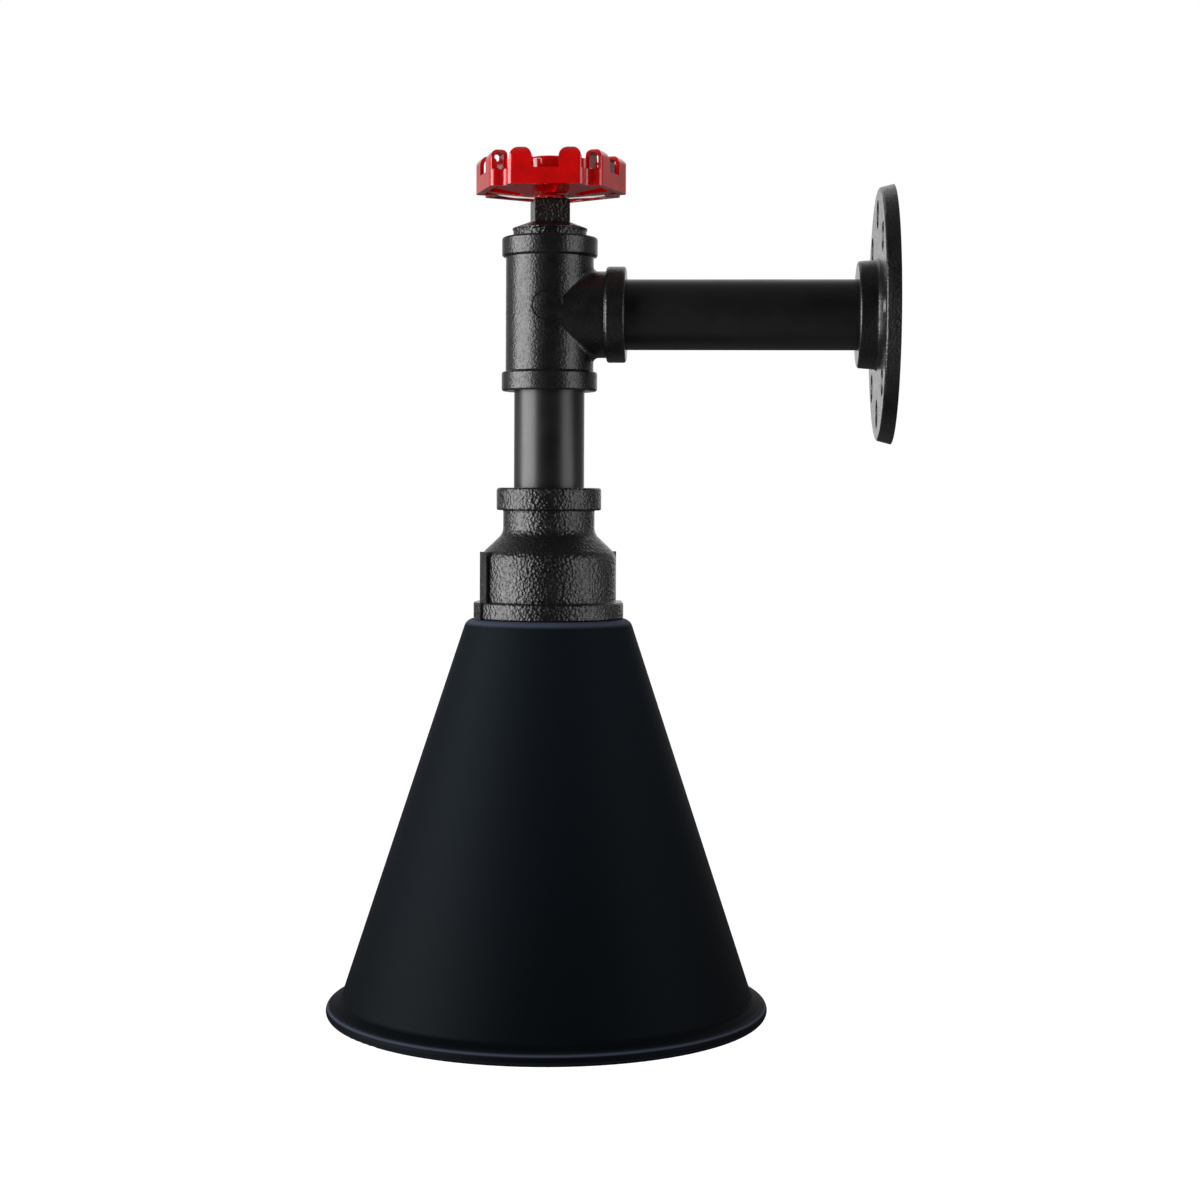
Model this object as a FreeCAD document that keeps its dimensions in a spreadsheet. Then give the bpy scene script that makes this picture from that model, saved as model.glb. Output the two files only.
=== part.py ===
"""Pipe wall light: a cast wall flange, a pipe arm, a tee with a square plug and a
red handwheel, a short drop pipe, a reducing socket and a spun cone shade over an
E27 lampholder. Millimetres, +Z up, the wall plane at x = 0, the lamp hangs at
x = -arm_reach, and the front of the light faces -Y."""
import FreeCAD, Part
import Sketcher
import math
import os
import re

Vector = FreeCAD.Vector
Rotation = FreeCAD.Rotation
Placement = FreeCAD.Placement

os.makedirs("parts", exist_ok=True)
document = FreeCAD.newDocument("pipe_wall_light")

# Driving sizes, in millimetres and degrees
SIZES = {
    # pipework: 3/4 inch pipe threads, tapered 1 in 16
    "arm_reach": 130.0,
    "pipe_od": 26.9,
    "pipe_wall": 2.6,
    "thread_od": 26.4,
    "thread_fit": 14.5,
    "thread_taper": 0.0625,
    "thread_gap": 0.05,
    "thread_runout": 1.0,
    "mouth_chamfer": 0.4,
    "drop_showing": 36.9,
    "seat_gap": 0.05,
    # wall flange
    "flange_od": 98.3,
    "flange_draft": 1.4,
    "flange_thick": 5.4,
    "flange_depth": 13.0,
    "flange_hub_od": 40.4,
    "flange_hub_draft": 0.6,
    "flange_hub_round": 1.4,
    "flange_pipe_fit": 12.0,
    "flange_hole_circle": 75.6,
    "flange_hole": 6.0,
    "flange_sink": 11.4,
    "flange_hole_count": 8,
    # tee
    "tee_reach": 29.3,
    "tee_body_od": 33.6,
    "tee_neck_od": 33.0,
    "tee_band_od": 36.6,
    "tee_band": 7.4,
    "tee_bore": 24.0,
    "tee_crotch": 2.0,
    "band_round": 1.0,
    "tee_rim_share": 0.6,
    "tee_heel_share": 0.35,
    "pad_ring_od": 13.4,
    "pad_ring_width": 1.1,
    "pad_ring_rise": 0.5,
    "pad_ring_height": 2.4,
    # square-headed plug
    "plug_neck_od": 28.0,
    "plug_neck": 2.1,
    "plug_collar_od": 29.0,
    "plug_collar_edge": 3.3,
    "plug_dome_od": 17.0,
    "plug_dome": 5.6,
    "plug_edge_round": 0.3,
    "plug_square": 13.4,
    "plug_square_top": 14.6,
    "plug_square_turn": 12.3,
    "plug_square_round": 1.0,
    # shoulder screw and washer that hold the handwheel
    "shoulder_dia": 6.0,
    "screw_thread": 5.0,
    "screw_thread_length": 8.0,
    "screw_head_dia": 10.0,
    "screw_head": 3.0,
    "screw_recess": 3.0,
    "screw_recess_depth": 1.6,
    "washer_dia": 11.6,
    "washer_thick": 1.0,
    "turning_gap": 0.3,
    "running_gap": 0.05,
    # handwheel
    "wheel_lobes": 5,
    "wheel_face": 26.3,
    "lobe_width": 29.0,
    "lobe_round": 2.6,
    "lobe_inner_round": 1.2,
    "valley_round": 2.0,
    "rim_wall": 2.6,
    "rim_base": 2.2,
    "band_height": 6.1,
    "hub_foot_od": 12.2,
    "hub_foot_draft": 0.3,
    "hub_neck_od": 15.0,
    "hub_neck_rise": 1.0,
    "hub_neck_round": 1.5,
    "hub_top_od": 17.0,
    "hub_height": 15.4,
    "hub_recess_od": 12.4,
    "hub_recess": 4.6,
    "web_foot": 0.6,
    "web_rise": 2.6,
    "web_thick": 2.4,
    "web_in_rim": 0.3,
    "window_inner": 10.6,
    "window_foot_width": 5.0,
    "window_width": 10.6,
    "window_round": 1.6,
    "finger_offset": 9.2,
    "finger_width": 8.4,
    "finger_depth": 6.6,
    "finger_top": 16.4,
    "finger_round": 4.1,
    "finger_crown_outer": 4.2,
    "finger_crown_inner": 2.2,
    "finger_wall": 1.5,
    "eye_foot": 0.2,
    "eye_foot_round": 0.8,
    "eye_inner_round": 1.1,
    "eye_outer_round": 3.1,
    "saddle_radius": 21.6,
    "saddle_dia": 6.0,
    "saddle_top": 12.4,
    # reducing socket
    "reducer_length": 50.0,
    "reducer_collar_od": 40.1,
    "reducer_collar": 8.6,
    "reducer_neck_od": 35.0,
    "reducer_neck_end": 17.4,
    "reducer_body_od": 51.6,
    "reducer_body_start": 25.4,
    "reducer_foot_od": 57.4,
    "reducer_foot": 6.4,
    "reducer_shoulder_round": 5.0,
    "reducer_edge_round": 0.8,
    "reducer_heel_round": 0.5,
    "reducer_wall": 4.6,
    "reducer_throat": 2.0,
    "socket_thread": 41.9,
    "socket_depth": 19.5,
    "socket_ledge": 1.2,
    "rib_width": 6.4,
    "rib_rise": 1.3,
    "rib_foot_rise": 0.7,
    "rib_above": 1.0,
    "rib_turn": -62.0,
    # spun cone shade
    "shade_sheet": 1.0,
    "shade_top_dia": 62.6,
    "shade_foot_dia": 157.4,
    "shade_cone": 144.6,
    "shade_corner": 4.0,
    "shade_hole": 40.8,
    "shade_flare": 2.0,
    "bead_dia": 5.0,
    "bead_overall": 169.0,
    # bracket plate, hollow nipple and its nut
    "plate_rise": 18.5,
    "plate_thick": 4.0,
    "nipple_dia": 10.0,
    "nipple_bore": 7.0,
    "nipple_above": 6.5,
    "nipple_below": 3.2,
    "locknut_across": 14.0,
    "locknut_thick": 4.0,
    "lockwasher_dia": 16.0,
    "lockwasher_thick": 1.0,
    "spanner_hole": 3.0,
    "spanner_circle": 32.0,
    # lampholder, measured down from the plate
    "cap_dia": 38.6,
    "cap_boss_dia": 18.0,
    "cap_shoulder": 6.0,
    "cap_inner_shoulder": 5.5,
    "cap_inner_round": 1.0,
    "cap_length": 13.0,
    "cap_roof": 3.0,
    "holder_thread": 34.0,
    "skirt_dia": 40.0,
    "skirt_neck_top": 7.0,
    "skirt_length": 58.0,
    "skirt_wall": 2.6,
    "skirt_inner_round": 0.8,
    "core_dia": 29.9,
    "core_top": 14.5,
    "core_foot": 20.5,
    "ledge": 2.0,
    "ledge_bore": 28.4,
    "shell_od": 27.4,
    "shell_sheet": 0.4,
    "shell_foot": 46.0,
    "shell_hole": 13.0,
    "ring_od": 54.0,
    "ring_height": 6.0,
    "ring_draft": 2.0,
    "ring_edge_round": 0.5,
    "ring_notch": 5.0,
    "ring_notches": 8,
    # terminals and contacts
    "terminal_width": 5.0,
    "terminal_length": 5.6,
    "terminal_height": 4.5,
    "terminal_edge": 1.7,
    "terminal_bore": 3.1,
    "clamp_level": 2.5,
    "clamp_showing": 1.5,
    "live_place": 2.0,
    "neutral_place": -9.2,
    "live_rivet": 3.3,
    "neutral_rivet": -8.0,
    "rivet_dia": 2.0,
    "terminal_screw_dia": 2.5,
    "terminal_screw_head": 3.6,
    "terminal_screw_head_height": 1.6,
    "screw_slot": 0.7,
    "screw_slot_depth": 0.6,
    "leaf_width": 4.4,
    "leaf_thick": 0.6,
    "leaf_past_rivet": 1.6,
    "leaf_bend": 1.4,
    "leaf_run": 0.8,
    "leaf_lean": 0.4,
    "leaf_tip": 2.2,
    # bulb
    "bulb_length": 105.0,
    "bulb_dia": 60.0,
    "bulb_tip": 24.6,
    "bulb_cap_od": 26.2,
    "bulb_cap_length": 21.0,
    "bulb_cap_sheet": 0.4,
    "bulb_cap_edge": 1.0,
    "bulb_cap_hole": 12.2,
    "bulb_nose": 3.6,
    "bulb_nose_rim": 1.6,
    "bulb_contact_seat": 9.0,
    "bulb_contact_dia": 8.2,
    "bulb_contact_flat": 6.0,
    "bulb_contact_thick": 1.05,
    "bulb_contact_round": 0.6,
    "bulb_tube_rise": 3.0,
    "bulb_neck_dia": 28.0,
    "bulb_neck_step": 1.5,
    "bulb_neck_flare": 2.0,
    "bulb_neck_length": 14.0,
    "bulb_neck_round": 14.0,
    "bulb_shoulder": 51.6,
    "bulb_shoulder_round": 22.0,
    "bulb_globe_round": 29.0,
    "bulb_glass": 0.8,
    "bulb_stem_dia": 9.0,
    "bulb_stem_length": 34.0,
    "bulb_stem_flange": 1.2,
    "bulb_stem_taper": 10.0,
    "bulb_stem_round": 6.0,
    "bulb_stem_tip_round": 2.0,
    "support_inset": 1.8,
    "support_straight": 3.0,
    "support_spread": 15.0,
    "support_drop": 15.0,
    "filament_sag": 4.0,
    "filament_bend": 4.0,
    "filament_dia": 0.5,
    # leads
    "lead_dia": 1.8,
    "lead_offset": 1.55,
    "lead_lay": 6.4,
    "lead_bend": 14.0,
    "lead_end": 2.0,
    "lead_rise": 3.4,
    "lead_inside": 2.2,
    "lead_turn_off": 5.0,
    "lug_thick": 0.8,
    "lug_ring": 6.4,
    "lug_place": 14.8,
    "lug_barrel_dia": 3.0,
    "lug_barrel": 5.0,
    "lug_screw_dia": 3.0,
    "lug_screw_short": 0.5,
    "lug_screw_head": 5.5,
    "lug_screw_head_height": 1.8,
}

sheet = document.addObject("Spreadsheet::Sheet", "Sizes")
for row, (alias, number) in enumerate(SIZES.items(), start=1):
    sheet.set(f"A{row}", alias)
    sheet.set(f"B{row}", str(number))
    sheet.setAlias(f"B{row}", alias)
document.recompute()

# Places that several pieces share, as sums of the sizes above
THREAD_MOUTH = "(thread_od / 2 + thread_gap)"
THREAD_FOOT = "(thread_od / 2 + thread_gap - (thread_fit + thread_runout) * thread_taper / 2)"
REDUCER_TOP = "(-tee_reach - drop_showing)"
REDUCER_FOOT = "(-tee_reach - drop_showing - reducer_length)"
PLATE_TOP = f"({REDUCER_FOOT} + plate_rise)"
PLATE_UNDER = f"({REDUCER_FOOT} + plate_rise - plate_thick)"
HOLDER_SEAT = f"({PLATE_UNDER} - seat_gap)"
PLUG_SEAT = "(tee_reach + seat_gap)"
PLUG_TOP = f"({PLUG_SEAT} + plug_square_top)"
WHEEL_FOOT = f"({PLUG_TOP} + turning_gap)"
RECESS_FLOOR = "(hub_height - hub_recess)"
BLOCK_FOOT = f"({HOLDER_SEAT} - core_top + seat_gap)"
BLOCK_TOP = f"({BLOCK_FOOT} + terminal_height)"
LUG_BARREL = "(lug_place - (lug_screw_head + lug_barrel_dia) / 2 - turning_gap)"

# What an outline may leave between two rounds, and how exact a solved round has to be
SHORTEST_SIDE = 0.02
ARC_TOLERANCE = 0.001

# How near a face an edge has to run to be picked for a fillet, at how many points
EDGE_TOLERANCE = 0.05
EDGE_SAMPLES = 7

# How far a cutting shape reaches past what it cuts, and what a tube may lose in volume
PAST = 1
VOLUME_TOLERANCE = 0.02

pieces = []


def bound(expression):
    """The same expression with each size read from the sheet."""
    return re.sub(r"\b[a-z][a-z_0-9]*\b(?!\()", lambda word: "Sizes." + word.group(0), str(expression))


def size(expression):
    """The value of an expression of sheet sizes."""
    return float(sheet.evalExpression(bound(expression)))


def kept(piece, name, place=("0", "0", "0"), turn=None):
    """Label a finished piece and bind its place, with an optional turn."""
    piece.Label = name
    spot = Vector(*[size(term) for term in place])
    piece.Placement = Placement(spot, turn or Rotation())
    if piece.TypeId != "Part::Feature":
        for letter, term in zip("xyz", place):
            piece.setExpression(f"Placement.Base.{letter}", bound(term))
    pieces.append(piece)
    return piece


def on_axis(height):
    """A place on the lamp's upright axis."""
    return ("-arm_reach", "0", height)


def origin_plane(body, role):
    return next(plane for plane in body.Origin.OriginFeatures if plane.Role == role)


def blank_sketch(body, name, role, lift="0", shift=("0", "0"), turn="0"):
    """A sketch on one of the body's origin planes, lifted along its normal."""
    sketch = body.newObject("Sketcher::SketchObject", name)
    sketch.AttachmentSupport = [(origin_plane(body, role), "")]
    sketch.MapMode = "FlatFace"
    base = Vector(size(shift[0]), size(shift[1]), size(lift))
    sketch.AttachmentOffset = Placement(base, Rotation(Vector(0, 0, 1), size(turn)))
    for letter, term in zip("xyz", (shift[0], shift[1], lift)):
        if term != "0":
            sketch.setExpression(f"AttachmentOffset.Base.{letter}", bound(term))
    if turn != "0":
        sketch.setExpression("AttachmentOffset.Rotation.Angle", bound(turn))
    return sketch


def fix_point(sketch, line, corner):
    """Hold a line's start at a corner given as two expressions."""
    for kind, term, axis in (("DistanceX", corner[0], -2), ("DistanceY", corner[1], -1)):
        if term == "0":
            sketch.addConstraint(Sketcher.Constraint("PointOnObject", line, 1, axis))
            continue
        spot = sketch.addConstraint(Sketcher.Constraint(kind, -1, 1, line, 1, size(term)))
        sketch.setExpression(f"Constraints[{spot}]", bound(term))


def rounds_on_sides(points, rounds):
    """Each rounded corner's radius, limited by its sides, with the turn it makes."""
    count = len(points)
    turns = {}
    reach = {}
    taken = [0.0] * count
    for index, radius in rounds.items():
        back = points[index - 1] - points[index]
        ahead = points[(index + 1) % count] - points[index]
        turns[index] = math.pi - back.getAngle(ahead)
        reach[index] = size(radius) * math.tan(turns[index] / 2)
        taken[index] += reach[index]
        taken[index - 1] += reach[index]
    share = [1.0] * count
    for index in range(count):
        side = (points[(index + 1) % count] - points[index]).Length
        if taken[index] > side - SHORTEST_SIDE:
            share[index] = (side - SHORTEST_SIDE) / taken[index]
    limited = {}
    for index, radius in rounds.items():
        part = min(share[index], share[index - 1])
        limited[index] = (radius if part == 1.0 else f"({radius}) * {part:.6f}", turns[index])
    return limited


def add_outline(sketch, corners, rounds=None):
    """A closed outline through corners, some of them rounded to a radius."""
    points = [Vector(size(across), size(up), 0) for across, up in corners]
    count = len(points)
    first = sketch.GeometryCount
    for index, point in enumerate(points):
        sketch.addGeometry(Part.LineSegment(point, points[(index + 1) % count]), False)
    for index in range(count):
        following = first + (index + 1) % count
        sketch.addConstraint(Sketcher.Constraint("Coincident", first + index, 2, following, 1))
    for index, corner in enumerate(corners):
        fix_point(sketch, first + index, corner)
    arcs = {}
    for index, (radius, turn) in rounds_on_sides(points, rounds or {}).items():
        before = sketch.GeometryCount
        sketch.fillet(first + (index - 1) % count, 2, size(radius), True, True)
        arc = next(number for number in range(before, sketch.GeometryCount)
                   if isinstance(sketch.Geometry[number], Part.ArcOfCircle))
        spot = sketch.addConstraint(Sketcher.Constraint("Radius", arc, size(radius)))
        sketch.setExpression(f"Constraints[{spot}]", bound(radius))
        arcs[arc] = turn
    sketch.solve()
    for arc, turn in arcs.items():
        shape = sketch.Geometry[arc]
        if abs(shape.LastParameter - shape.FirstParameter - turn) > ARC_TOLERANCE:
            raise RuntimeError(f"{sketch.Name} turned a round the wrong way")


def add_circle(sketch, across, up, radius):
    """A circle with its centre and radius bound to sizes."""
    circle = Part.Circle(Vector(size(across), size(up), 0), Vector(0, 0, 1), size(radius))
    number = sketch.addGeometry(circle, False)
    for kind, term, axis in (("DistanceX", across, -2), ("DistanceY", up, -1)):
        if term == "0":
            sketch.addConstraint(Sketcher.Constraint("PointOnObject", number, 3, axis))
            continue
        spot = sketch.addConstraint(Sketcher.Constraint(kind, -1, 1, number, 3, size(term)))
        sketch.setExpression(f"Constraints[{spot}]", bound(term))
    spot = sketch.addConstraint(Sketcher.Constraint("Radius", number, size(radius)))
    sketch.setExpression(f"Constraints[{spot}]", bound(radius))


def new_body(name):
    body = document.addObject("PartDesign::Body", name + "_body")
    document.recompute()
    return body


def revolve(body, name, corners, rounds=None, axis="V_Axis", cut=False, **where):
    """Turn an outline in the upright XZ plane about one of the sketch's axes."""
    sketch = blank_sketch(body, name + "_outline", "XZ_Plane", **where)
    add_outline(sketch, corners, rounds)
    feature = body.newObject("PartDesign::Groove" if cut else "PartDesign::Revolution", name)
    feature.Profile = sketch
    feature.ReferenceAxis = (sketch, [axis])
    feature.Angle = 360
    document.recompute()
    return feature


def raise_pad(body, name, sketch, length, both_sides=False):
    feature = body.newObject("PartDesign::Pad", name)
    feature.Profile = sketch
    feature.Length = size(length)
    feature.setExpression("Length", bound(length))
    feature.SideType = "Symmetric" if both_sides else "One side"
    document.recompute()
    return feature


def sink_pocket(body, name, sketch, length=None, both_sides=False):
    """Cut a sketch down into the body, through all of it when no length is given."""
    before = body.Shape.Volume
    feature = body.newObject("PartDesign::Pocket", name)
    feature.Profile = sketch
    feature.SideType = "Symmetric" if both_sides else "One side"
    if length is None:
        feature.Type = "ThroughAll"
    else:
        feature.Length = size(length)
        feature.setExpression("Length", bound(length))
    document.recompute()
    if body.Shape.Volume >= before:
        raise RuntimeError(f"{name} cut nothing from {body.Name}")
    return feature


def ring_of(body, name, features, count):
    """Repeat features around the body's Z axis."""
    pattern = body.newObject("PartDesign::PolarPattern", name)
    pattern.Originals = features
    z_axis = next(axis for axis in body.Origin.OriginFeatures if axis.Role == "Z_Axis")
    pattern.Axis = (z_axis, [""])
    pattern.Angle = 360
    pattern.Occurrences = int(size(count))
    pattern.setExpression("Occurrences", bound(count))
    body.Tip = pattern
    document.recompute()
    return pattern


def soften(body, name, base, radius, wanted):
    """Fillet the edges of a feature that a test on each edge picks out."""
    edges = [f"Edge{number}" for number, edge in enumerate(base.Shape.Edges, start=1) if wanted(edge)]
    if not edges:
        raise RuntimeError(f"{name} found no edge to round")
    feature = body.newObject("PartDesign::Fillet", name)
    feature.Base = (base, edges)
    feature.Radius = size(radius)
    feature.setExpression("Radius", bound(radius))
    document.recompute()
    return feature


def turned(name, corners, rounds=None, place=("0", "0", "0"), turn=None):
    """A piece that is one turned outline, closed around its own Z axis."""
    body = new_body(name)
    revolve(body, name + "_turned", corners, rounds)
    return kept(body, name, place, turn)


def primitive(kind, name, place=("0", "0", "0"), turn=None, **lengths):
    """A Part primitive with its lengths and place bound to sizes."""
    shape = document.addObject("Part::" + kind, name)
    for key, term in lengths.items():
        setattr(shape, key, size(term))
        shape.setExpression(key, bound(term))
    shape.Placement = Placement(Vector(*[size(term) for term in place]), turn or Rotation())
    for letter, term in zip("xyz", place):
        shape.setExpression(f"Placement.Base.{letter}", bound(term))
    return shape


def joined(name, shapes):
    fuse = document.addObject("Part::MultiFuse", name)
    fuse.Shapes = shapes
    return fuse


def cut_from(name, base, tool):
    cut = document.addObject("Part::Cut", name)
    cut.Base = base
    cut.Tool = tool
    return cut


# Wall flange: a tapered disc with a threaded hub, its eight holes sunk for screws
TOWARDS_ROOM = Rotation(Vector(0, 1, 0), -90)


def make_wall_flange():
    body = new_body("wall_flange")
    back_bore = f"{THREAD_MOUTH} - flange_depth * thread_taper / 2"
    corners = [
        (back_bore, "0"),
        ("flange_od / 2", "0"),
        ("flange_od / 2 - flange_draft", "flange_thick"),
        ("flange_hub_od / 2 + flange_hub_draft", "flange_thick"),
        ("flange_hub_od / 2", "flange_depth"),
        (f"{THREAD_MOUTH} + mouth_chamfer", "flange_depth"),
        (THREAD_MOUTH, "flange_depth - mouth_chamfer"),
    ]
    rounds = {2: "band_round", 3: "flange_hub_round", 4: "band_round"}
    revolve(body, "flange_disc", corners, rounds)
    centres = blank_sketch(body, "screw_holes", "XY_Plane", lift="flange_thick")
    add_circle(centres, "flange_hole_circle / 2", "0", "flange_hole / 2")
    hole = sink_pocket(body, "screw_hole", centres)
    sink_depth = "(flange_sink - flange_hole) / 2"
    sinks = blank_sketch(body, "screw_sink_outline", "XZ_Plane", shift=("flange_hole_circle / 2", "0"))
    add_outline(sinks, [("0", f"flange_thick - {sink_depth}"),
                        ("flange_hole / 2", f"flange_thick - {sink_depth}"),
                        ("flange_sink / 2", "flange_thick"),
                        ("0", "flange_thick")])
    sink = body.newObject("PartDesign::Groove", "screw_sink")
    sink.Profile = sinks
    sink.ReferenceAxis = (sinks, ["V_Axis"])
    sink.Angle = 360
    document.recompute()
    ring_of(body, "screw_ring", [hole, sink], "flange_hole_count")
    return kept(body, "wall_flange", turn=TOWARDS_ROOM)


def make_pipe(name, length, lower_fit, upper_fit, place, turn=None):
    """A length of pipe with a taper thread's plain cone on each end."""
    bore = "(pipe_od / 2 - pipe_wall)"
    lower_tip = f"(thread_od / 2 - {lower_fit} * thread_taper / 2)"
    upper_tip = f"(thread_od / 2 - {upper_fit} * thread_taper / 2)"
    corners = [
        (bore, "0"),
        (lower_tip, "0"),
        ("thread_od / 2", lower_fit),
        ("pipe_od / 2", lower_fit),
        ("pipe_od / 2", f"{length} - {upper_fit}"),
        ("thread_od / 2", f"{length} - {upper_fit}"),
        (upper_tip, length),
        (bore, length),
    ]
    return turned(name, corners, place=place, turn=turn)


TEE_STEP = "((tee_band_od - tee_body_od) / 2)"
ARM_LENGTH = "(arm_reach - tee_reach + thread_fit - flange_depth + flange_pipe_fit)"
DROP_LENGTH = "(drop_showing + 2 * thread_fit)"


def make_tee():
    """The tee casting: two equal runs and a branch, banded at each mouth."""
    body = new_body("tee")
    band_start = "tee_reach - tee_band"
    run = [
        ("0", "-tee_reach"),
        ("tee_band_od / 2", "-tee_reach"),
        ("tee_band_od / 2", f"-({band_start})"),
        ("tee_body_od / 2", f"-({band_start})"),
        ("tee_body_od / 2", band_start),
        ("tee_band_od / 2", band_start),
        ("tee_band_od / 2", "tee_reach"),
        ("0", "tee_reach"),
    ]
    rim = f"({TEE_STEP} * tee_rim_share)"
    heel = f"({TEE_STEP} * tee_heel_share)"
    rounds = {1: "band_round", 2: rim, 3: heel, 4: heel, 5: rim, 6: "band_round"}
    revolve(body, "run", run, rounds)
    branch = [
        ("0", "0"),
        ("tee_reach", "0"),
        ("tee_reach", "tee_band_od / 2"),
        (band_start, "tee_band_od / 2"),
        (band_start, "tee_neck_od / 2"),
        ("0", "tee_neck_od / 2"),
    ]
    branch_rounds = {2: "band_round", 3: rim, 4: heel}
    both = revolve(body, "branch", branch, branch_rounds, axis="H_Axis")
    run_radius = size("tee_body_od / 2")
    neck_radius = size("tee_neck_od / 2")

    def in_crotch(edge):
        return all(abs(math.hypot(spot.x, spot.y) - run_radius) < EDGE_TOLERANCE
                   and abs(math.hypot(spot.y, spot.z) - neck_radius) < EDGE_TOLERANCE
                   for spot in edge.discretize(EDGE_SAMPLES))

    soften(body, "crotch", both, "tee_crotch", in_crotch)
    bore_end = "(tee_reach - thread_fit - thread_runout)"
    half = [
        (THREAD_FOOT, bore_end),
        (THREAD_MOUTH, "tee_reach - mouth_chamfer"),
        (f"{THREAD_MOUTH} + mouth_chamfer", "tee_reach"),
    ]
    mirrored = [(across, f"-({up})") for across, up in reversed(half)]
    run_bore = ([("0", "-tee_reach")] + mirrored + [("tee_bore / 2", f"-{bore_end}")]
                + [("tee_bore / 2", bore_end)] + half + [("0", "tee_reach")])
    revolve(body, "run_bore", run_bore, cut=True)
    branch_bore = ([("0", "0"), ("tee_reach", "0")]
                   + [(up, across) for across, up in reversed(half)]
                   + [(bore_end, "tee_bore / 2"), ("0", "tee_bore / 2")])
    revolve(body, "branch_bore", branch_bore, axis="H_Axis", cut=True)
    skin = primitive("Cylinder", "pad_skin", ("0", "0", "-tee_reach"),
                     Radius="tee_body_od / 2 + pad_ring_rise", Height="2 * tee_reach")
    ahead = Rotation(Vector(1, 0, 0), 90)
    spot = ("0", "-(tee_bore + tee_body_od) / 4", "pad_ring_height")
    outer = primitive("Cylinder", "pad_outer", spot, ahead, Radius="pad_ring_od / 2", Height="tee_body_od")
    hollow = primitive("Cylinder", "pad_hollow", spot, ahead,
                       Radius="pad_ring_od / 2 - pad_ring_width", Height="tee_body_od")
    ring = document.addObject("Part::Common", "pad_ring")
    ring.Base = cut_from("pad_wall", outer, hollow)
    ring.Tool = skin
    return kept(joined("tee_casting", [body, ring]), "tee", on_axis("0"))


def make_top_plug():
    """The plug: taper thread, domed collar and a square head turned a little."""
    body = new_body("top_plug")
    foot = "(thread_fit + seat_gap)"
    corners = [
        ("0", f"-{foot}"),
        (f"thread_od / 2 - {foot} * thread_taper / 2", f"-{foot}"),
        ("thread_od / 2", "0"),
        ("plug_neck_od / 2", "0"),
        ("plug_neck_od / 2", "plug_neck"),
        ("plug_collar_od / 2", "plug_collar_edge"),
        ("plug_dome_od / 2", "plug_dome"),
        ("0", "plug_dome"),
    ]
    revolve(body, "plug_turned", corners, {5: "plug_edge_round"})
    square = blank_sketch(body, "square", "XY_Plane", lift="plug_collar_edge", turn="plug_square_turn")
    half = "plug_square / 2"
    add_outline(square, [(f"-{half}", f"-{half}"), (half, f"-{half}"), (half, half), (f"-{half}", half)])
    head = raise_pad(body, "square_head", square, "plug_square_top - plug_collar_edge")
    top = size("plug_square_top") - EDGE_TOLERANCE
    soften(body, "head_edges", head, "plug_square_round",
           lambda edge: all(spot.z > top for spot in edge.discretize(EDGE_SAMPLES)))
    tapped = blank_sketch(body, "tapped_hole", "XY_Plane", lift="plug_square_top")
    add_circle(tapped, "0", "0", "screw_thread / 2 + running_gap")
    sink_pocket(body, "screw_seat", tapped, "screw_thread_length + thread_runout")
    return kept(body, "top_plug", on_axis(PLUG_SEAT))


def make_wheel_screw():
    """A shoulder screw: thread, plain shoulder for the wheel, and a round head."""
    shoulder_top = f"(turning_gap + {RECESS_FLOOR} + turning_gap)"
    head_foot = f"({shoulder_top} + washer_thick)"
    body = new_body("wheel_screw")
    corners = [
        ("0", "-screw_thread_length"),
        ("screw_thread / 2", "-screw_thread_length"),
        ("screw_thread / 2", "0"),
        ("shoulder_dia / 2", "0"),
        ("shoulder_dia / 2", head_foot),
        ("screw_head_dia / 2", head_foot),
        ("screw_head_dia / 2", f"{head_foot} + screw_head"),
        ("0", f"{head_foot} + screw_head"),
    ]
    revolve(body, "screw_turned", corners, {6: "band_round"})
    key = blank_sketch(body, "key_hexagon", "XY_Plane", lift=f"{head_foot} + screw_head")
    corner_radius = "screw_recess / 2 / cos(30)"
    add_outline(key, [(f"{corner_radius} * cos({turn})", f"{corner_radius} * sin({turn})")
                      for turn in range(10, 370, 60)])
    sink_pocket(body, "key_socket", key, "screw_recess_depth")
    return kept(body, "wheel_screw", on_axis(PLUG_TOP))


def make_wheel_washer():
    corners = [
        ("shoulder_dia / 2 + running_gap", "0"),
        ("washer_dia / 2", "0"),
        ("washer_dia / 2", "washer_thick - seat_gap"),
        ("shoulder_dia / 2 + running_gap", "washer_thick - seat_gap"),
    ]
    seat = f"({WHEEL_FOOT} + {RECESS_FLOOR} + turning_gap)"
    return turned("wheel_washer", corners, place=on_axis(seat))


def lobed_corners(face, half_width):
    """The wheel's outline: a flat lobe and a valley, five times round."""
    lobes = int(size("wheel_lobes"))
    corners = []
    for lobe in range(lobes):
        turn = f"({lobe} * 360 / wheel_lobes)"
        valley = f"({half_width}) / tan(180 / wheel_lobes)"
        for across, out in ((f"-({half_width})", face), (half_width, face), (half_width, valley)):
            corners.append((f"({across}) * cos({turn}) + ({out}) * sin({turn})",
                            f"({across}) * sin({turn}) - ({out}) * cos({turn})"))
    return corners


def lobed_rounds(corner, valley):
    lobes = int(size("wheel_lobes"))
    rounds = {}
    for lobe in range(lobes):
        rounds[3 * lobe] = corner
        rounds[3 * lobe + 1] = corner
        rounds[3 * lobe + 2] = valley
    return rounds


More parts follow.
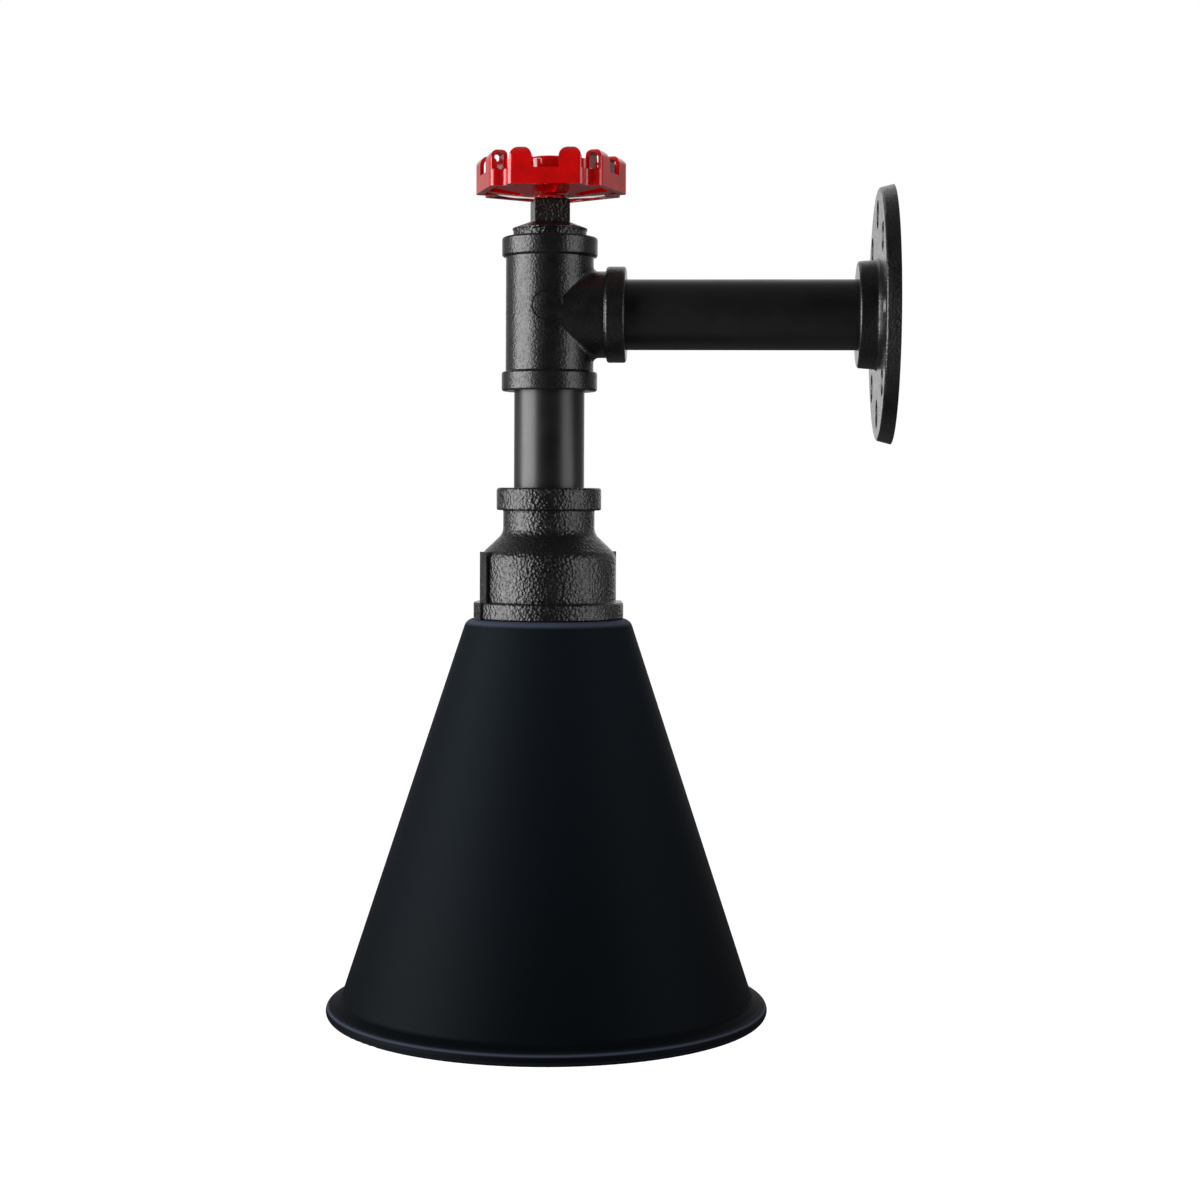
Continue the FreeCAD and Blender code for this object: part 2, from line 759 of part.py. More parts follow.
def make_handwheel():
    """The cast handwheel: tapered hub, dished web with five windows, and a
    lobed rim that carries two hollow finger arches on each lobe."""
    base = new_body("wheel_base")
    reach = "(wheel_face - rim_wall + web_in_rim)"
    hub_and_web = [
        ("0", "0"),
        ("hub_foot_od / 2", "0"),
        ("hub_foot_od / 2 + hub_foot_draft", "web_foot"),
        (reach, "web_rise"),
        (reach, "web_rise + web_thick"),
        ("hub_neck_od / 2", "web_foot + web_thick + hub_neck_rise"),
        ("hub_top_od / 2", "hub_height"),
        ("0", "hub_height"),
    ]
    revolve(base, "hub_and_web", hub_and_web, {5: "hub_neck_round", 6: "band_round"})
    windows = blank_sketch(base, "window_outlines", "XY_Plane", lift="hub_height")
    window = [("-window_foot_width / 2", "-window_inner"),
              ("-window_width / 2", "-(wheel_face - rim_wall)"),
              ("window_width / 2", "-(wheel_face - rim_wall)"),
              ("window_foot_width / 2", "-window_inner")]
    for lobe in range(int(size("wheel_lobes"))):
        add_outline(windows, [about_hub(corner, lobe) for corner in window],
                    {corner: "window_round" for corner in range(4)})
    sink_pocket(base, "windows", windows)
    band = blank_sketch(base, "band_outline", "XY_Plane", lift="rim_base")
    add_outline(band, lobed_corners("wheel_face", "lobe_width / 2"), lobed_rounds("lobe_round", "valley_round"))
    add_outline(band, lobed_corners("wheel_face - rim_wall", "lobe_width / 2 - rim_wall"),
                lobed_rounds("lobe_inner_round", "valley_round"))
    raise_pad(base, "band", band, "band_height")
    posts = blank_sketch(base, "saddle_outlines", "XY_Plane", lift="web_rise")
    for lobe in range(int(size("wheel_lobes"))):
        across, out = about_hub(("saddle_radius * sin(180 / wheel_lobes)",
                                 "-saddle_radius * cos(180 / wheel_lobes)"), lobe)
        add_circle(posts, across, out, "saddle_dia / 2")
    raise_pad(base, "saddles", posts, "saddle_top - web_rise")
    through = blank_sketch(base, "shoulder_bore_outline", "XY_Plane", lift="hub_height")
    add_circle(through, "0", "0", "shoulder_dia / 2 + running_gap")
    sink_pocket(base, "shoulder_bore", through)
    recess = blank_sketch(base, "recess_outline", "XY_Plane", lift="hub_height")
    add_circle(recess, "0", "0", "hub_recess_od / 2")
    sink_pocket(base, "screw_recess", recess, "hub_recess")

    pair = make_finger_pair()
    copies = []
    for lobe in range(int(size("wheel_lobes"))):
        copy = document.addObject("App::Link", "finger_pair_copy")
        copy.LinkedObject = pair
        copy.LinkTransform = False
        copy.Placement = Placement(Vector(), Rotation(Vector(0, 0, 1), size(f"{lobe} * 360 / wheel_lobes")))
        copies.append(copy)
    return kept(joined("wheel_casting", [base] + copies), "handwheel", on_axis(WHEEL_FOOT))


def about_hub(corner, lobe):
    """A corner of the front lobe, turned on to another lobe."""
    turn = f"({lobe} * 360 / wheel_lobes)"
    across, out = corner
    return (f"({across}) * cos({turn}) - ({out}) * sin({turn})",
            f"({across}) * sin({turn}) + ({out}) * cos({turn})")


def make_finger_pair():
    """Two finger arches of the front lobe: an arch seen from the side, with its
    eye, and a half-round hump seen from the front."""
    pair = new_body("finger_pair")
    pair.AllowCompound = True
    foot = "(web_rise + web_thick / 2)"
    back = "(wheel_face - finger_depth)"
    side_view = blank_sketch(pair, "arch_outline", "YZ_Plane")
    add_outline(side_view, [("-wheel_face", foot), (f"-{back}", foot),
                            (f"-{back}", "finger_top"), ("-wheel_face", "finger_top")],
                {2: "finger_crown_inner", 3: "finger_crown_outer"})
    eye_out = "(wheel_face - finger_wall)"
    eye_in = "(wheel_face - finger_depth + finger_wall)"
    low = "(rim_base + band_height + eye_foot)"
    high = "(finger_top - finger_wall)"
    add_outline(side_view, [(f"-{eye_out}", low), (f"-{eye_in}", low),
                            (f"-{eye_in}", high), (f"-{eye_out}", high)],
                {0: "eye_foot_round", 1: "eye_foot_round", 2: "eye_inner_round", 3: "eye_outer_round"})
    raise_pad(pair, "arches", side_view, "2 * finger_offset + finger_width", both_sides=True)
    front = blank_sketch(pair, "hump_outline", "XZ_Plane", lift=f"wheel_face + {PAST}")
    near = "(finger_offset - finger_width / 2)"
    far = "(finger_offset + finger_width / 2)"
    edge = f"(lobe_width / 2 + {PAST})"
    above = f"finger_top + {PAST}"
    add_outline(front, [(f"-{edge}", "0"), (edge, "0"), (edge, above), (f"-{edge}", above)])
    for side in ("-", ""):
        add_outline(front, [(f"{side}{near}", "web_foot"), (f"{side}{far}", "web_foot"),
                            (f"{side}{far}", "finger_top"), (f"{side}{near}", "finger_top")],
                    {2: "finger_round", 3: "finger_round"})
    sink_pocket(pair, "humps", front, f"finger_depth + 2 * {PAST}")
    trim = blank_sketch(pair, "lobe_trim_outline", "XY_Plane", lift=above)
    half = "(lobe_width / 2)"
    inside = f"({back} - {PAST})"
    add_outline(trim, [(f"-{edge}", f"-(wheel_face + {PAST})"), (edge, f"-(wheel_face + {PAST})"),
                       (edge, f"-({inside} - {PAST})"), (f"-{edge}", f"-({inside} - {PAST})")])
    add_outline(trim, [(f"-{half}", "-wheel_face"), (half, "-wheel_face"),
                       (half, f"-{inside}"), (f"-{half}", f"-{inside}")],
                {0: "lobe_round", 1: "lobe_round"})
    sink_pocket(pair, "lobe_trim", trim)
    return pair


def make_reducer():
    """The reducing socket: S-shaped shoulder between a collar and a banded foot."""
    body = new_body("reducer_socket")
    down = "-reducer_length"
    inner = "(reducer_body_od / 2 - reducer_wall)"
    foot_mouth = "(socket_thread / 2)"
    socket_roof = "(reducer_length - socket_depth)"
    corners = [
        (f"{THREAD_MOUTH} + mouth_chamfer", "0"),
        ("reducer_collar_od / 2", "0"),
        ("reducer_collar_od / 2", "-reducer_collar"),
        ("reducer_neck_od / 2", "-reducer_collar"),
        ("reducer_neck_od / 2", "-reducer_neck_end"),
        ("reducer_body_od / 2", "-reducer_body_start"),
        ("reducer_body_od / 2", f"{down} + reducer_foot"),
        ("reducer_foot_od / 2", f"{down} + reducer_foot"),
        ("reducer_foot_od / 2", down),
        (f"{foot_mouth} + mouth_chamfer", down),
        (foot_mouth, f"{down} + mouth_chamfer"),
        (foot_mouth, f"-{socket_roof}"),
        (f"{foot_mouth} - socket_ledge", f"-{socket_roof}"),
        ("tee_bore / 2", "-(thread_fit + thread_runout + reducer_throat)"),
        ("tee_bore / 2", "-(thread_fit + thread_runout)"),
        (THREAD_FOOT, "-(thread_fit + thread_runout)"),
        (THREAD_MOUTH, "-mouth_chamfer"),
    ]
    rounds = {1: "band_round", 2: "reducer_edge_round", 3: "reducer_heel_round",
              4: "reducer_shoulder_round", 5: "reducer_shoulder_round",
              6: "reducer_heel_round", 7: "reducer_edge_round", 8: "reducer_edge_round"}
    revolve(body, "socket_turned", corners, rounds)
    rib = blank_sketch(body, "rib_outline", "XY_Plane", lift=down, turn="rib_turn")
    half = "rib_width / 2"
    inside = "(reducer_body_od / 2 - reducer_wall / 2)"
    outside = "(reducer_body_od / 2 + rib_rise)"
    for side in ("-", ""):
        add_outline(rib, [(f"-{half}", f"{side}{inside}"), (half, f"{side}{inside}"),
                          (half, f"{side}{outside}"), (f"-{half}", f"{side}{outside}")])
    raise_pad(body, "ribs", rib, "reducer_length - reducer_body_start + rib_above")
    heel = blank_sketch(body, "rib_heel_outline", "XY_Plane", lift=down, turn="rib_turn")
    heel_out = "(reducer_foot_od / 2 + rib_foot_rise)"
    for side in ("-", ""):
        add_outline(heel, [(f"-{half}", f"{side}{inside}"), (half, f"{side}{inside}"),
                           (half, f"{side}{heel_out}"), (f"-{half}", f"{side}{heel_out}")])
    raise_pad(body, "rib_heels", heel, "reducer_foot")
    return kept(body, "reducer_socket", on_axis(REDUCER_TOP))


SHADE_TOP = f"({REDUCER_FOOT} - seat_gap)"
CONE_SLOPE = "((shade_foot_dia - shade_top_dia) / 2 / shade_cone)"


def make_lampshade():
    """The spun cone: flat crown with a hole, straight cone, flared and beaded rim."""
    sheet_across = f"(shade_sheet * sqrt(1 + {CONE_SLOPE} * {CONE_SLOPE}))"
    crown_edge = "shade_top_dia / 2"
    bead = "(bead_dia / 2)"
    bead_centre = f"(bead_overall / 2 - {bead})"
    bead_level = "(-shade_cone - shade_flare - bead_dia / 2)"
    body = new_body("lampshade")
    corners = [
        ("shade_hole / 2", "0"),
        (crown_edge, "0"),
        ("shade_foot_dia / 2", "-shade_cone"),
        (f"{bead_centre}", f"{bead_level} + {bead}"),
        (f"{bead_centre} + {bead}", f"{bead_level} + {bead}"),
        (f"{bead_centre} + {bead}", f"{bead_level} - {bead}"),
        (f"{bead_centre} - {bead}", f"{bead_level} - {bead}"),
        (f"{bead_centre} - {bead}", f"{bead_level}"),
        (f"shade_foot_dia / 2 - {sheet_across}", "-shade_cone"),
        (f"{crown_edge} - {sheet_across} + shade_sheet * {CONE_SLOPE}", "-shade_sheet"),
        ("shade_hole / 2", "-shade_sheet"),
    ]
    rounds = {1: "shade_corner", 2: "shade_flare", 4: bead, 5: bead, 6: bead,
              9: "shade_corner - shade_sheet"}
    revolve(body, "spinning", corners, rounds)
    return kept(body, "lampshade", on_axis(SHADE_TOP))


def make_holder_plate():
    """The threaded disc in the socket's foot that carries the lampholder."""
    body = new_body("holder_plate")
    corners = [
        ("nipple_dia / 2 + thread_gap", "0"),
        ("socket_thread / 2 - thread_gap", "0"),
        ("socket_thread / 2 - thread_gap", "plate_thick"),
        ("nipple_dia / 2 + thread_gap", "plate_thick"),
    ]
    revolve(body, "disc", corners)
    holes = blank_sketch(body, "spanner_holes", "XY_Plane", lift="plate_thick")
    add_circle(holes, "0", "spanner_circle / 2", "spanner_hole / 2")
    add_circle(holes, "0", "-spanner_circle / 2", "spanner_hole / 2")
    add_circle(holes, "lug_place", "0", "lug_screw_dia / 2 + running_gap")
    sink_pocket(body, "holes", holes)
    return kept(body, "holder_plate", on_axis(PLATE_UNDER))


def make_nipple():
    low = "-(nipple_below + seat_gap)"
    high = "(plate_thick + nipple_above)"
    corners = [("nipple_bore / 2", low), ("nipple_dia / 2", low), ("nipple_dia / 2", high),
               ("nipple_bore / 2", high)]
    return turned("hollow_nipple", corners, place=on_axis(PLATE_UNDER))


def make_lockwasher():
    corners = [("nipple_dia / 2 + running_gap * 4", "seat_gap"), ("lockwasher_dia / 2", "seat_gap"),
               ("lockwasher_dia / 2", "lockwasher_thick"),
               ("nipple_dia / 2 + running_gap * 4", "lockwasher_thick")]
    return turned("nipple_washer", corners, place=on_axis(PLATE_TOP))


def make_locknut():
    body = new_body("nipple_locknut")
    flats = blank_sketch(body, "nut_hexagon", "XY_Plane")
    corner_radius = "locknut_across / 2 / cos(30)"
    add_outline(flats, [(f"{corner_radius} * cos({turn})", f"{corner_radius} * sin({turn})")
                        for turn in range(20, 380, 60)])
    add_circle(flats, "0", "0", "nipple_dia / 2 + thread_gap")
    raise_pad(body, "nut", flats, "locknut_thick")
    return kept(body, "nipple_locknut", on_axis(f"({PLATE_TOP} + lockwasher_thick + seat_gap)"))


def make_lampholder():
    """Cap, skirt, ceramic core and brass shell of the E27 lampholder."""
    wall = "(cap_dia / 2 - holder_thread / 2 - thread_gap)"
    cap = [
        ("nipple_dia / 2 + thread_gap", "0"),
        ("cap_boss_dia / 2", "0"),
        ("cap_dia / 2", "-cap_shoulder"),
        ("cap_dia / 2", "-cap_length"),
        (f"cap_dia / 2 - {wall}", "-cap_length"),
        (f"cap_dia / 2 - {wall}", "-cap_inner_shoulder"),
        ("cap_boss_dia / 2", "-cap_roof"),
        ("nipple_dia / 2 + thread_gap", "-cap_roof"),
    ]
    turned("lampholder_cap", cap, {2: "shade_corner", 5: "cap_inner_round"}, place=on_axis(HOLDER_SEAT))
    core_fit = "(core_dia / 2 + running_gap)"
    skirt_top = "-(cap_length + seat_gap)"
    skirt = [
        (core_fit, "-skirt_neck_top"),
        ("holder_thread / 2", "-skirt_neck_top"),
        ("holder_thread / 2", skirt_top),
        ("skirt_dia / 2", skirt_top),
        ("skirt_dia / 2", "-skirt_length"),
        ("skirt_dia / 2 - skirt_wall", "-skirt_length"),
        ("skirt_dia / 2 - skirt_wall", "-(core_foot + ledge)"),
        ("ledge_bore / 2", "-(core_foot + ledge)"),
        ("ledge_bore / 2", "-(core_foot + seat_gap)"),
        (core_fit, "-(core_foot + seat_gap)"),
    ]
    turned("lampholder_skirt", skirt, {4: "band_round", 5: "skirt_inner_round"}, place=on_axis(HOLDER_SEAT))
    shell_top = "-(core_foot + seat_gap)"
    shell = [
        ("shell_hole / 2", shell_top),
        ("shell_od / 2", shell_top),
        ("shell_od / 2", "-shell_foot"),
        ("shell_od / 2 - shell_sheet", "-shell_foot"),
        ("shell_od / 2 - shell_sheet", f"{shell_top} - shell_sheet"),
        ("shell_hole / 2", f"{shell_top} - shell_sheet"),
    ]
    turned("screw_shell", shell, place=on_axis(HOLDER_SEAT))
    core = new_body("lampholder_core")
    disc = blank_sketch(core, "core_disc", "XY_Plane", lift="-core_foot")
    add_circle(disc, "0", "0", "core_dia / 2")
    for spot in ("live_rivet", "neutral_rivet"):
        add_circle(disc, spot, "0", "rivet_dia / 2 + running_gap")
    raise_pad(core, "core", disc, "core_foot - core_top")
    kept(core, "lampholder_core", on_axis(HOLDER_SEAT))


def make_shade_ring():
    """The ring nut on the holder's skirt that clamps the shade to the socket."""
    body = new_body("shade_ring")
    corners = [
        ("skirt_dia / 2 + thread_gap", "0"),
        ("ring_od / 2", "0"),
        ("ring_od / 2", "-ring_height / 2"),
        ("ring_od / 2 - ring_draft", "-ring_height"),
        ("skirt_dia / 2 + thread_gap", "-ring_height"),
    ]
    revolve(body, "ring_turned", corners, {1: "ring_edge_round", 3: "band_round"})
    notch = blank_sketch(body, "notch_outline", "XY_Plane")
    add_circle(notch, "ring_od / 2 + ring_notch / 4", "0", "ring_notch / 2")
    grip = sink_pocket(body, "grip", notch)
    ring_of(body, "grips", [grip], "ring_notches")
    return kept(body, "shade_ring", on_axis(f"({SHADE_TOP} - shade_sheet - seat_gap)"))


LIVE_WIRE = "(live_place + terminal_length - terminal_edge)"
NEUTRAL_WIRE = "(neutral_place + terminal_length - terminal_edge)"


def make_terminal(name, start, rivet, wire):
    """A brass terminal block with its rivet, a lead hole and a screw hole."""
    block = primitive("Box", name + "_block", (f"-arm_reach + {start}", "-terminal_width / 2", BLOCK_FOOT),
                      Length="terminal_length", Width="terminal_width", Height="terminal_height")
    tail = primitive("Cylinder", name + "_rivet",
                     (f"-arm_reach + {rivet}", "0", f"{HOLDER_SEAT} - core_foot"),
                     Radius="rivet_dia / 2", Height=f"core_foot - core_top + {PAST}")
    lead_hole = primitive("Cylinder", name + "_lead_hole",
                          (f"-arm_reach + {wire}", "0", f"{BLOCK_TOP} - terminal_bore"),
                          Radius="lead_dia / 2 + running_gap", Height="terminal_height")
    screw_hole = primitive("Cylinder", name + "_screw_hole",
                           (f"-arm_reach + {wire}", "-terminal_width", f"{BLOCK_FOOT} + clamp_level"),
                           Rotation(Vector(1, 0, 0), -90),
                           Radius="terminal_screw_dia / 2 + running_gap",
                           Height="terminal_width - lead_dia / 2")
    return kept(cut_from(name + "_drilled", joined(name + "_solid", [block, tail]),
                         joined(name + "_holes", [lead_hole, screw_hole])), name)


def slotted_screw(name, shank_dia, shank, head_dia, head):
    """A screw with a slotted cheese head, its shank down its own Z axis."""
    body = new_body(name)
    revolve(body, name + "_turned", [
        ("0", f"-({shank})"),
        (f"{shank_dia} / 2", f"-({shank})"),
        (f"{shank_dia} / 2", "0"),
        (f"{head_dia} / 2", "0"),
        (f"{head_dia} / 2", head),
        ("0", head),
    ])
    slot = blank_sketch(body, name + "_slot_outline", "XY_Plane", lift=head)
    half = "screw_slot / 2"
    add_outline(slot, [(f"-{head_dia}", f"-{half}"), (head_dia, f"-{half}"),
                       (head_dia, half), (f"-{head_dia}", half)])
    sink_pocket(body, name + "_slot", slot, "screw_slot_depth")
    return body


def make_terminals():
    make_terminal("live_terminal", "live_place", "live_rivet", LIVE_WIRE)
    make_terminal("neutral_terminal", "neutral_place", "neutral_rivet", NEUTRAL_WIRE)
    screws = []
    for spot in (LIVE_WIRE, NEUTRAL_WIRE):
        screw = slotted_screw("clamp_screw", "terminal_screw_dia",
                              "clamp_showing + (terminal_width - lead_dia) / 2 - running_gap",
                              "terminal_screw_head", "terminal_screw_head_height")
        place = (f"-arm_reach + {spot}", "-(terminal_width / 2 + clamp_showing)", f"{BLOCK_FOOT} + clamp_level")
        screw.Placement = Placement(Vector(*[size(term) for term in place]), Rotation(Vector(1, 0, 0), 90))
        for letter, term in zip("xyz", place):
            screw.setExpression(f"Placement.Base.{letter}", bound(term))
        screws.append(screw)
    group = document.addObject("Part::Compound", "clamp_screws")
    group.Links = screws
    kept(group, "terminal_screws")


def make_centre_contact():
    """The sprung leaf from the live rivet to the bulb's tip."""
    body = new_body("centre_contact")
    profile = blank_sketch(body, "leaf_outline", "XZ_Plane")
    rise = "-(core_foot + seat_gap)"
    low = "-(bulb_tip - seat_gap - leaf_thick)"
    far = "(live_rivet + leaf_past_rivet)"
    add_outline(profile, [
        (far, rise),
        (far, f"{rise} - leaf_thick"),
        ("leaf_bend + leaf_lean", f"{rise} - leaf_thick"),
        ("leaf_bend + leaf_lean - leaf_run", f"{low} - leaf_thick"),
        ("-leaf_tip", f"{low} - leaf_thick"),
        ("-leaf_tip", low),
        ("leaf_bend - leaf_run", low),
        ("leaf_bend", rise),
    ])
    raise_pad(body, "leaf", profile, "leaf_width", both_sides=True)
    return kept(body, "centre_contact", on_axis(HOLDER_SEAT))


def make_bulb():
    """A plain pear-shaped E27 lamp: cap, insulator, contact, glass, stem and filament."""
    seat = on_axis(f"({HOLDER_SEAT} - bulb_tip)")
    cap_top = "-bulb_nose"
    cap_foot = "(-bulb_nose - bulb_cap_length)"
    sheet_top = f"{cap_top} - bulb_cap_sheet"
    cap = [
        ("bulb_cap_hole / 2", cap_top),
        ("bulb_cap_od / 2 - bulb_cap_edge", cap_top),
        ("bulb_cap_od / 2", f"{cap_top} - bulb_cap_edge"),
        ("bulb_cap_od / 2", cap_foot),
        ("bulb_cap_od / 2 - bulb_cap_sheet", cap_foot),
        ("bulb_cap_od / 2 - bulb_cap_sheet", f"{sheet_top} - bulb_cap_edge"),
        ("bulb_cap_od / 2 - bulb_cap_edge - bulb_cap_sheet", sheet_top),
        ("bulb_cap_hole / 2", sheet_top),
    ]
    turned("bulb_cap", cap, place=seat)
    nose_top = "-(bulb_contact_thick + seat_gap)"
    nose_edge = "(bulb_cap_hole / 2 - seat_gap)"
    nose = [
        ("0", nose_top),
        ("bulb_contact_seat / 2", nose_top),
        (nose_edge, cap_top),
        (nose_edge, f"{cap_top} - bulb_nose_rim"),
        ("0", f"{cap_top} - bulb_nose_rim"),
    ]
    turned("bulb_insulator", nose, place=seat)
    tip = [
        ("0", "0"),
        ("bulb_contact_flat / 2", "0"),
        ("bulb_contact_dia / 2", "-bulb_contact_thick"),
        ("0", "-bulb_contact_thick"),
    ]
    turned("bulb_contact", tip, {1: "bulb_contact_round"}, place=seat)
    globe = "(bulb_dia / 2)"
    foot = "-bulb_length"
    neck_top = f"{cap_foot} + bulb_tube_rise"
    neck = "(bulb_neck_dia / 2)"
    tube = "(bulb_cap_od / 2 - bulb_cap_sheet - seat_gap)"
    thick = "bulb_glass"
    neck_end = f"{cap_foot} - bulb_neck_length"
    step = f"{cap_foot} - bulb_neck_step"
    outside = [
        (tube, neck_top),
        (tube, f"{cap_foot} - seat_gap"),
        (neck, step),
        (f"{neck} + bulb_neck_flare", neck_end),
        (globe, f"{foot} + bulb_shoulder"),
        (globe, foot),
        ("0", foot),
    ]
    inside = [
        ("0", f"{foot} + {thick}"),
        (f"{globe} - {thick}", f"{foot} + {thick}"),
        (f"{globe} - {thick}", f"{foot} + bulb_shoulder"),
        (f"{neck} + bulb_neck_flare - {thick}", neck_end),
        (f"{neck} - {thick}", step),
        (f"{tube} - {thick}", f"{cap_foot} - seat_gap"),
        (f"{tube} - {thick}", neck_top),
    ]
    rounds = {3: "bulb_neck_round", 4: "bulb_shoulder_round", 5: "bulb_globe_round",
              8: f"bulb_globe_round - {thick}", 9: "bulb_shoulder_round", 10: "bulb_neck_round"}
    turned("bulb_glass", outside + inside, rounds, place=seat)
    stem_edge = f"{tube} - {thick} - seat_gap"
    stem_end = f"({cap_foot} - bulb_stem_length)"
    stem = [
        ("0", neck_top),
        (stem_edge, neck_top),
        (stem_edge, f"{neck_top} - bulb_stem_flange"),
        ("bulb_stem_dia / 2", f"{cap_foot} - bulb_stem_taper"),
        ("bulb_stem_dia / 2", stem_end),
        ("0", stem_end),
    ]
    turned("bulb_stem", stem, {3: "bulb_stem_round", 4: "bulb_stem_tip_round"}, place=seat)
    make_filament()


def smooth_path(points, bend, held):
    """Straight runs joined by tangent arcs, as large as the runs allow up to a bend.
    The last run stays straight over the length that is held."""
    edges = []
    start = points[0]
    tightest = bend
    for before, corner, after in zip(points, points[1:], points[2:]):
        back = before - corner
        ahead = after - corner
        run = min(back.Length if before is points[0] else back.Length / 2,
                  ahead.Length - held if after is points[-1] else ahead.Length / 2)
        half_turn = (math.pi - back.getAngle(ahead)) / 2
        radius = min(bend, run / math.tan(half_turn) - SHORTEST_SIDE)
        tightest = min(tightest, radius)
        reach = radius * math.tan(half_turn)
        enter = corner + back.normalize() * reach
        leave = corner + ahead.normalize() * reach
        towards = (back + ahead).normalize()
        middle = corner + towards * (radius / math.cos(half_turn) - radius)
        edges.append(Part.LineSegment(start, enter).toShape())
        edges.append(Part.Arc(enter, middle, leave).toShape())
        start = leave
    edges.append(Part.LineSegment(start, points[-1]).toShape())
    return Part.Wire(edges), tightest


def swept(name, points, diameter, bend, held):
    """A round lead or wire along a path of runs and arcs, set from sheet sizes."""
    path, tightest = smooth_path(points, bend, held)
    ring = Part.Wire(Part.Circle(points[0], points[1] - points[0], diameter / 2).toShape())
    solid = path.makePipeShell([ring], True, False)
    print(f"{name}: length {path.Length:.1f}, tightest bend {tightest:.1f}")
    if abs(solid.Volume - path.Length * math.pi * diameter ** 2 / 4) > VOLUME_TOLERANCE * solid.Volume:
        raise RuntimeError(f"{name} lost volume along its path")
    piece = document.addObject("Part::Feature", name)
    piece.Shape = solid
    return kept(piece, name)


def make_filament():
    """Two support wires out of the stem and the filament hung between them."""
    middle = -size("arm_reach")
    inset = size("support_inset")
    spread = size("support_spread")
    start = size(f"{HOLDER_SEAT} - bulb_tip - bulb_nose - bulb_cap_length - bulb_stem_length - seat_gap")
    bend = start - size("support_straight")
    foot = start - size("support_drop")
    half = [Vector(middle - inset, 0, start), Vector(middle - inset, 0, bend), Vector(middle - spread, 0, foot)]
    mirrored = [Vector(2 * middle - spot.x, 0, spot.z) for spot in reversed(half)]
    route = half + [Vector(middle, 0, foot - size("filament_sag"))] + mirrored
    swept("bulb_filament", route, size("filament_dia"), size("filament_bend"), 0)


def make_leads():
    """Live, neutral and earth leads, from the flange through the arm and the drop."""
    axis = -size("arm_reach")
    out = -size("lead_end")
    offset = size("lead_offset")
    lay = -size("lead_lay")
    rise = size("lead_rise")
    inside = size("lead_inside")
    dia = size("lead_dia")
    bend = size("lead_bend")
    nipple_end = size(f"{HOLDER_SEAT} - nipple_below")
    block_top = size(BLOCK_TOP)
    beside = offset * math.cos(math.radians(30))
    for name, across, wire in (("live_lead", beside, LIVE_WIRE), ("neutral_lead", -beside, NEUTRAL_WIRE)):
        deep = offset / 2
        target = axis + size(wire)
        route = [
            Vector(out, deep, lay - across),
            Vector(axis + across, deep, lay - across),
            Vector(axis + across, deep, nipple_end),
            Vector(target, 0, block_top + rise),
            Vector(target, 0, block_top - inside),
        ]
        swept(name, route, dia, bend, inside)
    lug_top = size(f"{PLATE_TOP} + seat_gap + lug_thick + lug_barrel")
    barrel = axis + size(LUG_BARREL)
    route = [
        Vector(out, -offset, lay),
        Vector(axis, -offset, lay),
        Vector(axis, -offset, size(f"{REDUCER_TOP} - thread_fit + lead_turn_off")),
        Vector(barrel, 0, lug_top + rise),
        Vector(barrel, 0, lug_top - inside),
    ]
    swept("earth_lead", route, dia, bend, inside)


def make_earth_lug():
    """A ring terminal bent up into a barrel, and the screw that holds it down."""
    level = f"({PLATE_TOP} + seat_gap)"
    centre = "-arm_reach + lug_place"
    crimp = f"-arm_reach + {LUG_BARREL}"
    ring = primitive("Cylinder", "lug_ring", (centre, "0", level), Radius="lug_ring / 2", Height="lug_thick")
    tongue = primitive("Box", "lug_tongue", (crimp, "-lug_barrel_dia / 2", level),
                       Length=f"lug_place - {LUG_BARREL}", Width="lug_barrel_dia", Height="lug_thick")
    barrel = primitive("Cylinder", "lug_barrel", (crimp, "0", level),
                       Radius="lug_barrel_dia / 2", Height="lug_barrel + lug_thick")
    eye = primitive("Cylinder", "lug_eye", (centre, "0", f"{level} - {PAST}"),
                    Radius="lug_screw_dia / 2 + running_gap", Height=f"lug_thick + 2 * {PAST}")
    mouth = primitive("Cylinder", "lug_mouth", (crimp, "0", f"{level} + lug_thick"),
                      Radius="lead_dia / 2 + running_gap", Height=f"lug_barrel + {PAST}")
    kept(cut_from("lug", joined("lug_blank", [ring, tongue, barrel]), joined("lug_holes", [eye, mouth])),
         "earth_lug")
    screw = slotted_screw("lug_screw", "lug_screw_dia", "plate_thick + lug_thick - lug_screw_short",
                          "lug_screw_head", "lug_screw_head_height")
    kept(screw, "earth_screw", (centre, "0", f"{level} + lug_thick + seat_gap"))


make_wall_flange()
make_pipe("arm_pipe", ARM_LENGTH, "thread_fit", "flange_pipe_fit",
          ("-arm_reach + tee_reach - thread_fit", "0", "0"), Rotation(Vector(0, 1, 0), 90))
make_tee()
make_top_plug()
make_wheel_screw()
make_wheel_washer()
make_handwheel()
make_pipe("drop_pipe", DROP_LENGTH, "thread_fit", "thread_fit",
          on_axis(f"({REDUCER_TOP} - thread_fit)"))
make_reducer()
make_lampshade()
make_holder_plate()
make_nipple()
make_lockwasher()
make_locknut()
make_lampholder()
make_shade_ring()
make_terminals()
make_centre_contact()
make_bulb()
make_leads()
make_earth_lug()
document.recompute()

# Every object has to be sound before anything is written
for item in document.Objects:
    if "Invalid" in item.State or "Error" in item.State:
        raise RuntimeError(f"{item.Label} failed: {item.State}")
for piece in pieces:
    if piece.Shape.isNull() or not piece.Shape.isValid():
        raise RuntimeError(f"{piece.Label} has no sound shape")
for piece in pieces:
    piece.Shape.exportStep(f"parts/{piece.Label}.step")
print(f"{len(pieces)} pieces written")
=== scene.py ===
import math

import bpy
from bpy.props import FloatProperty, FloatVectorProperty, PointerProperty, StringProperty
from mathutils import Matrix, Vector


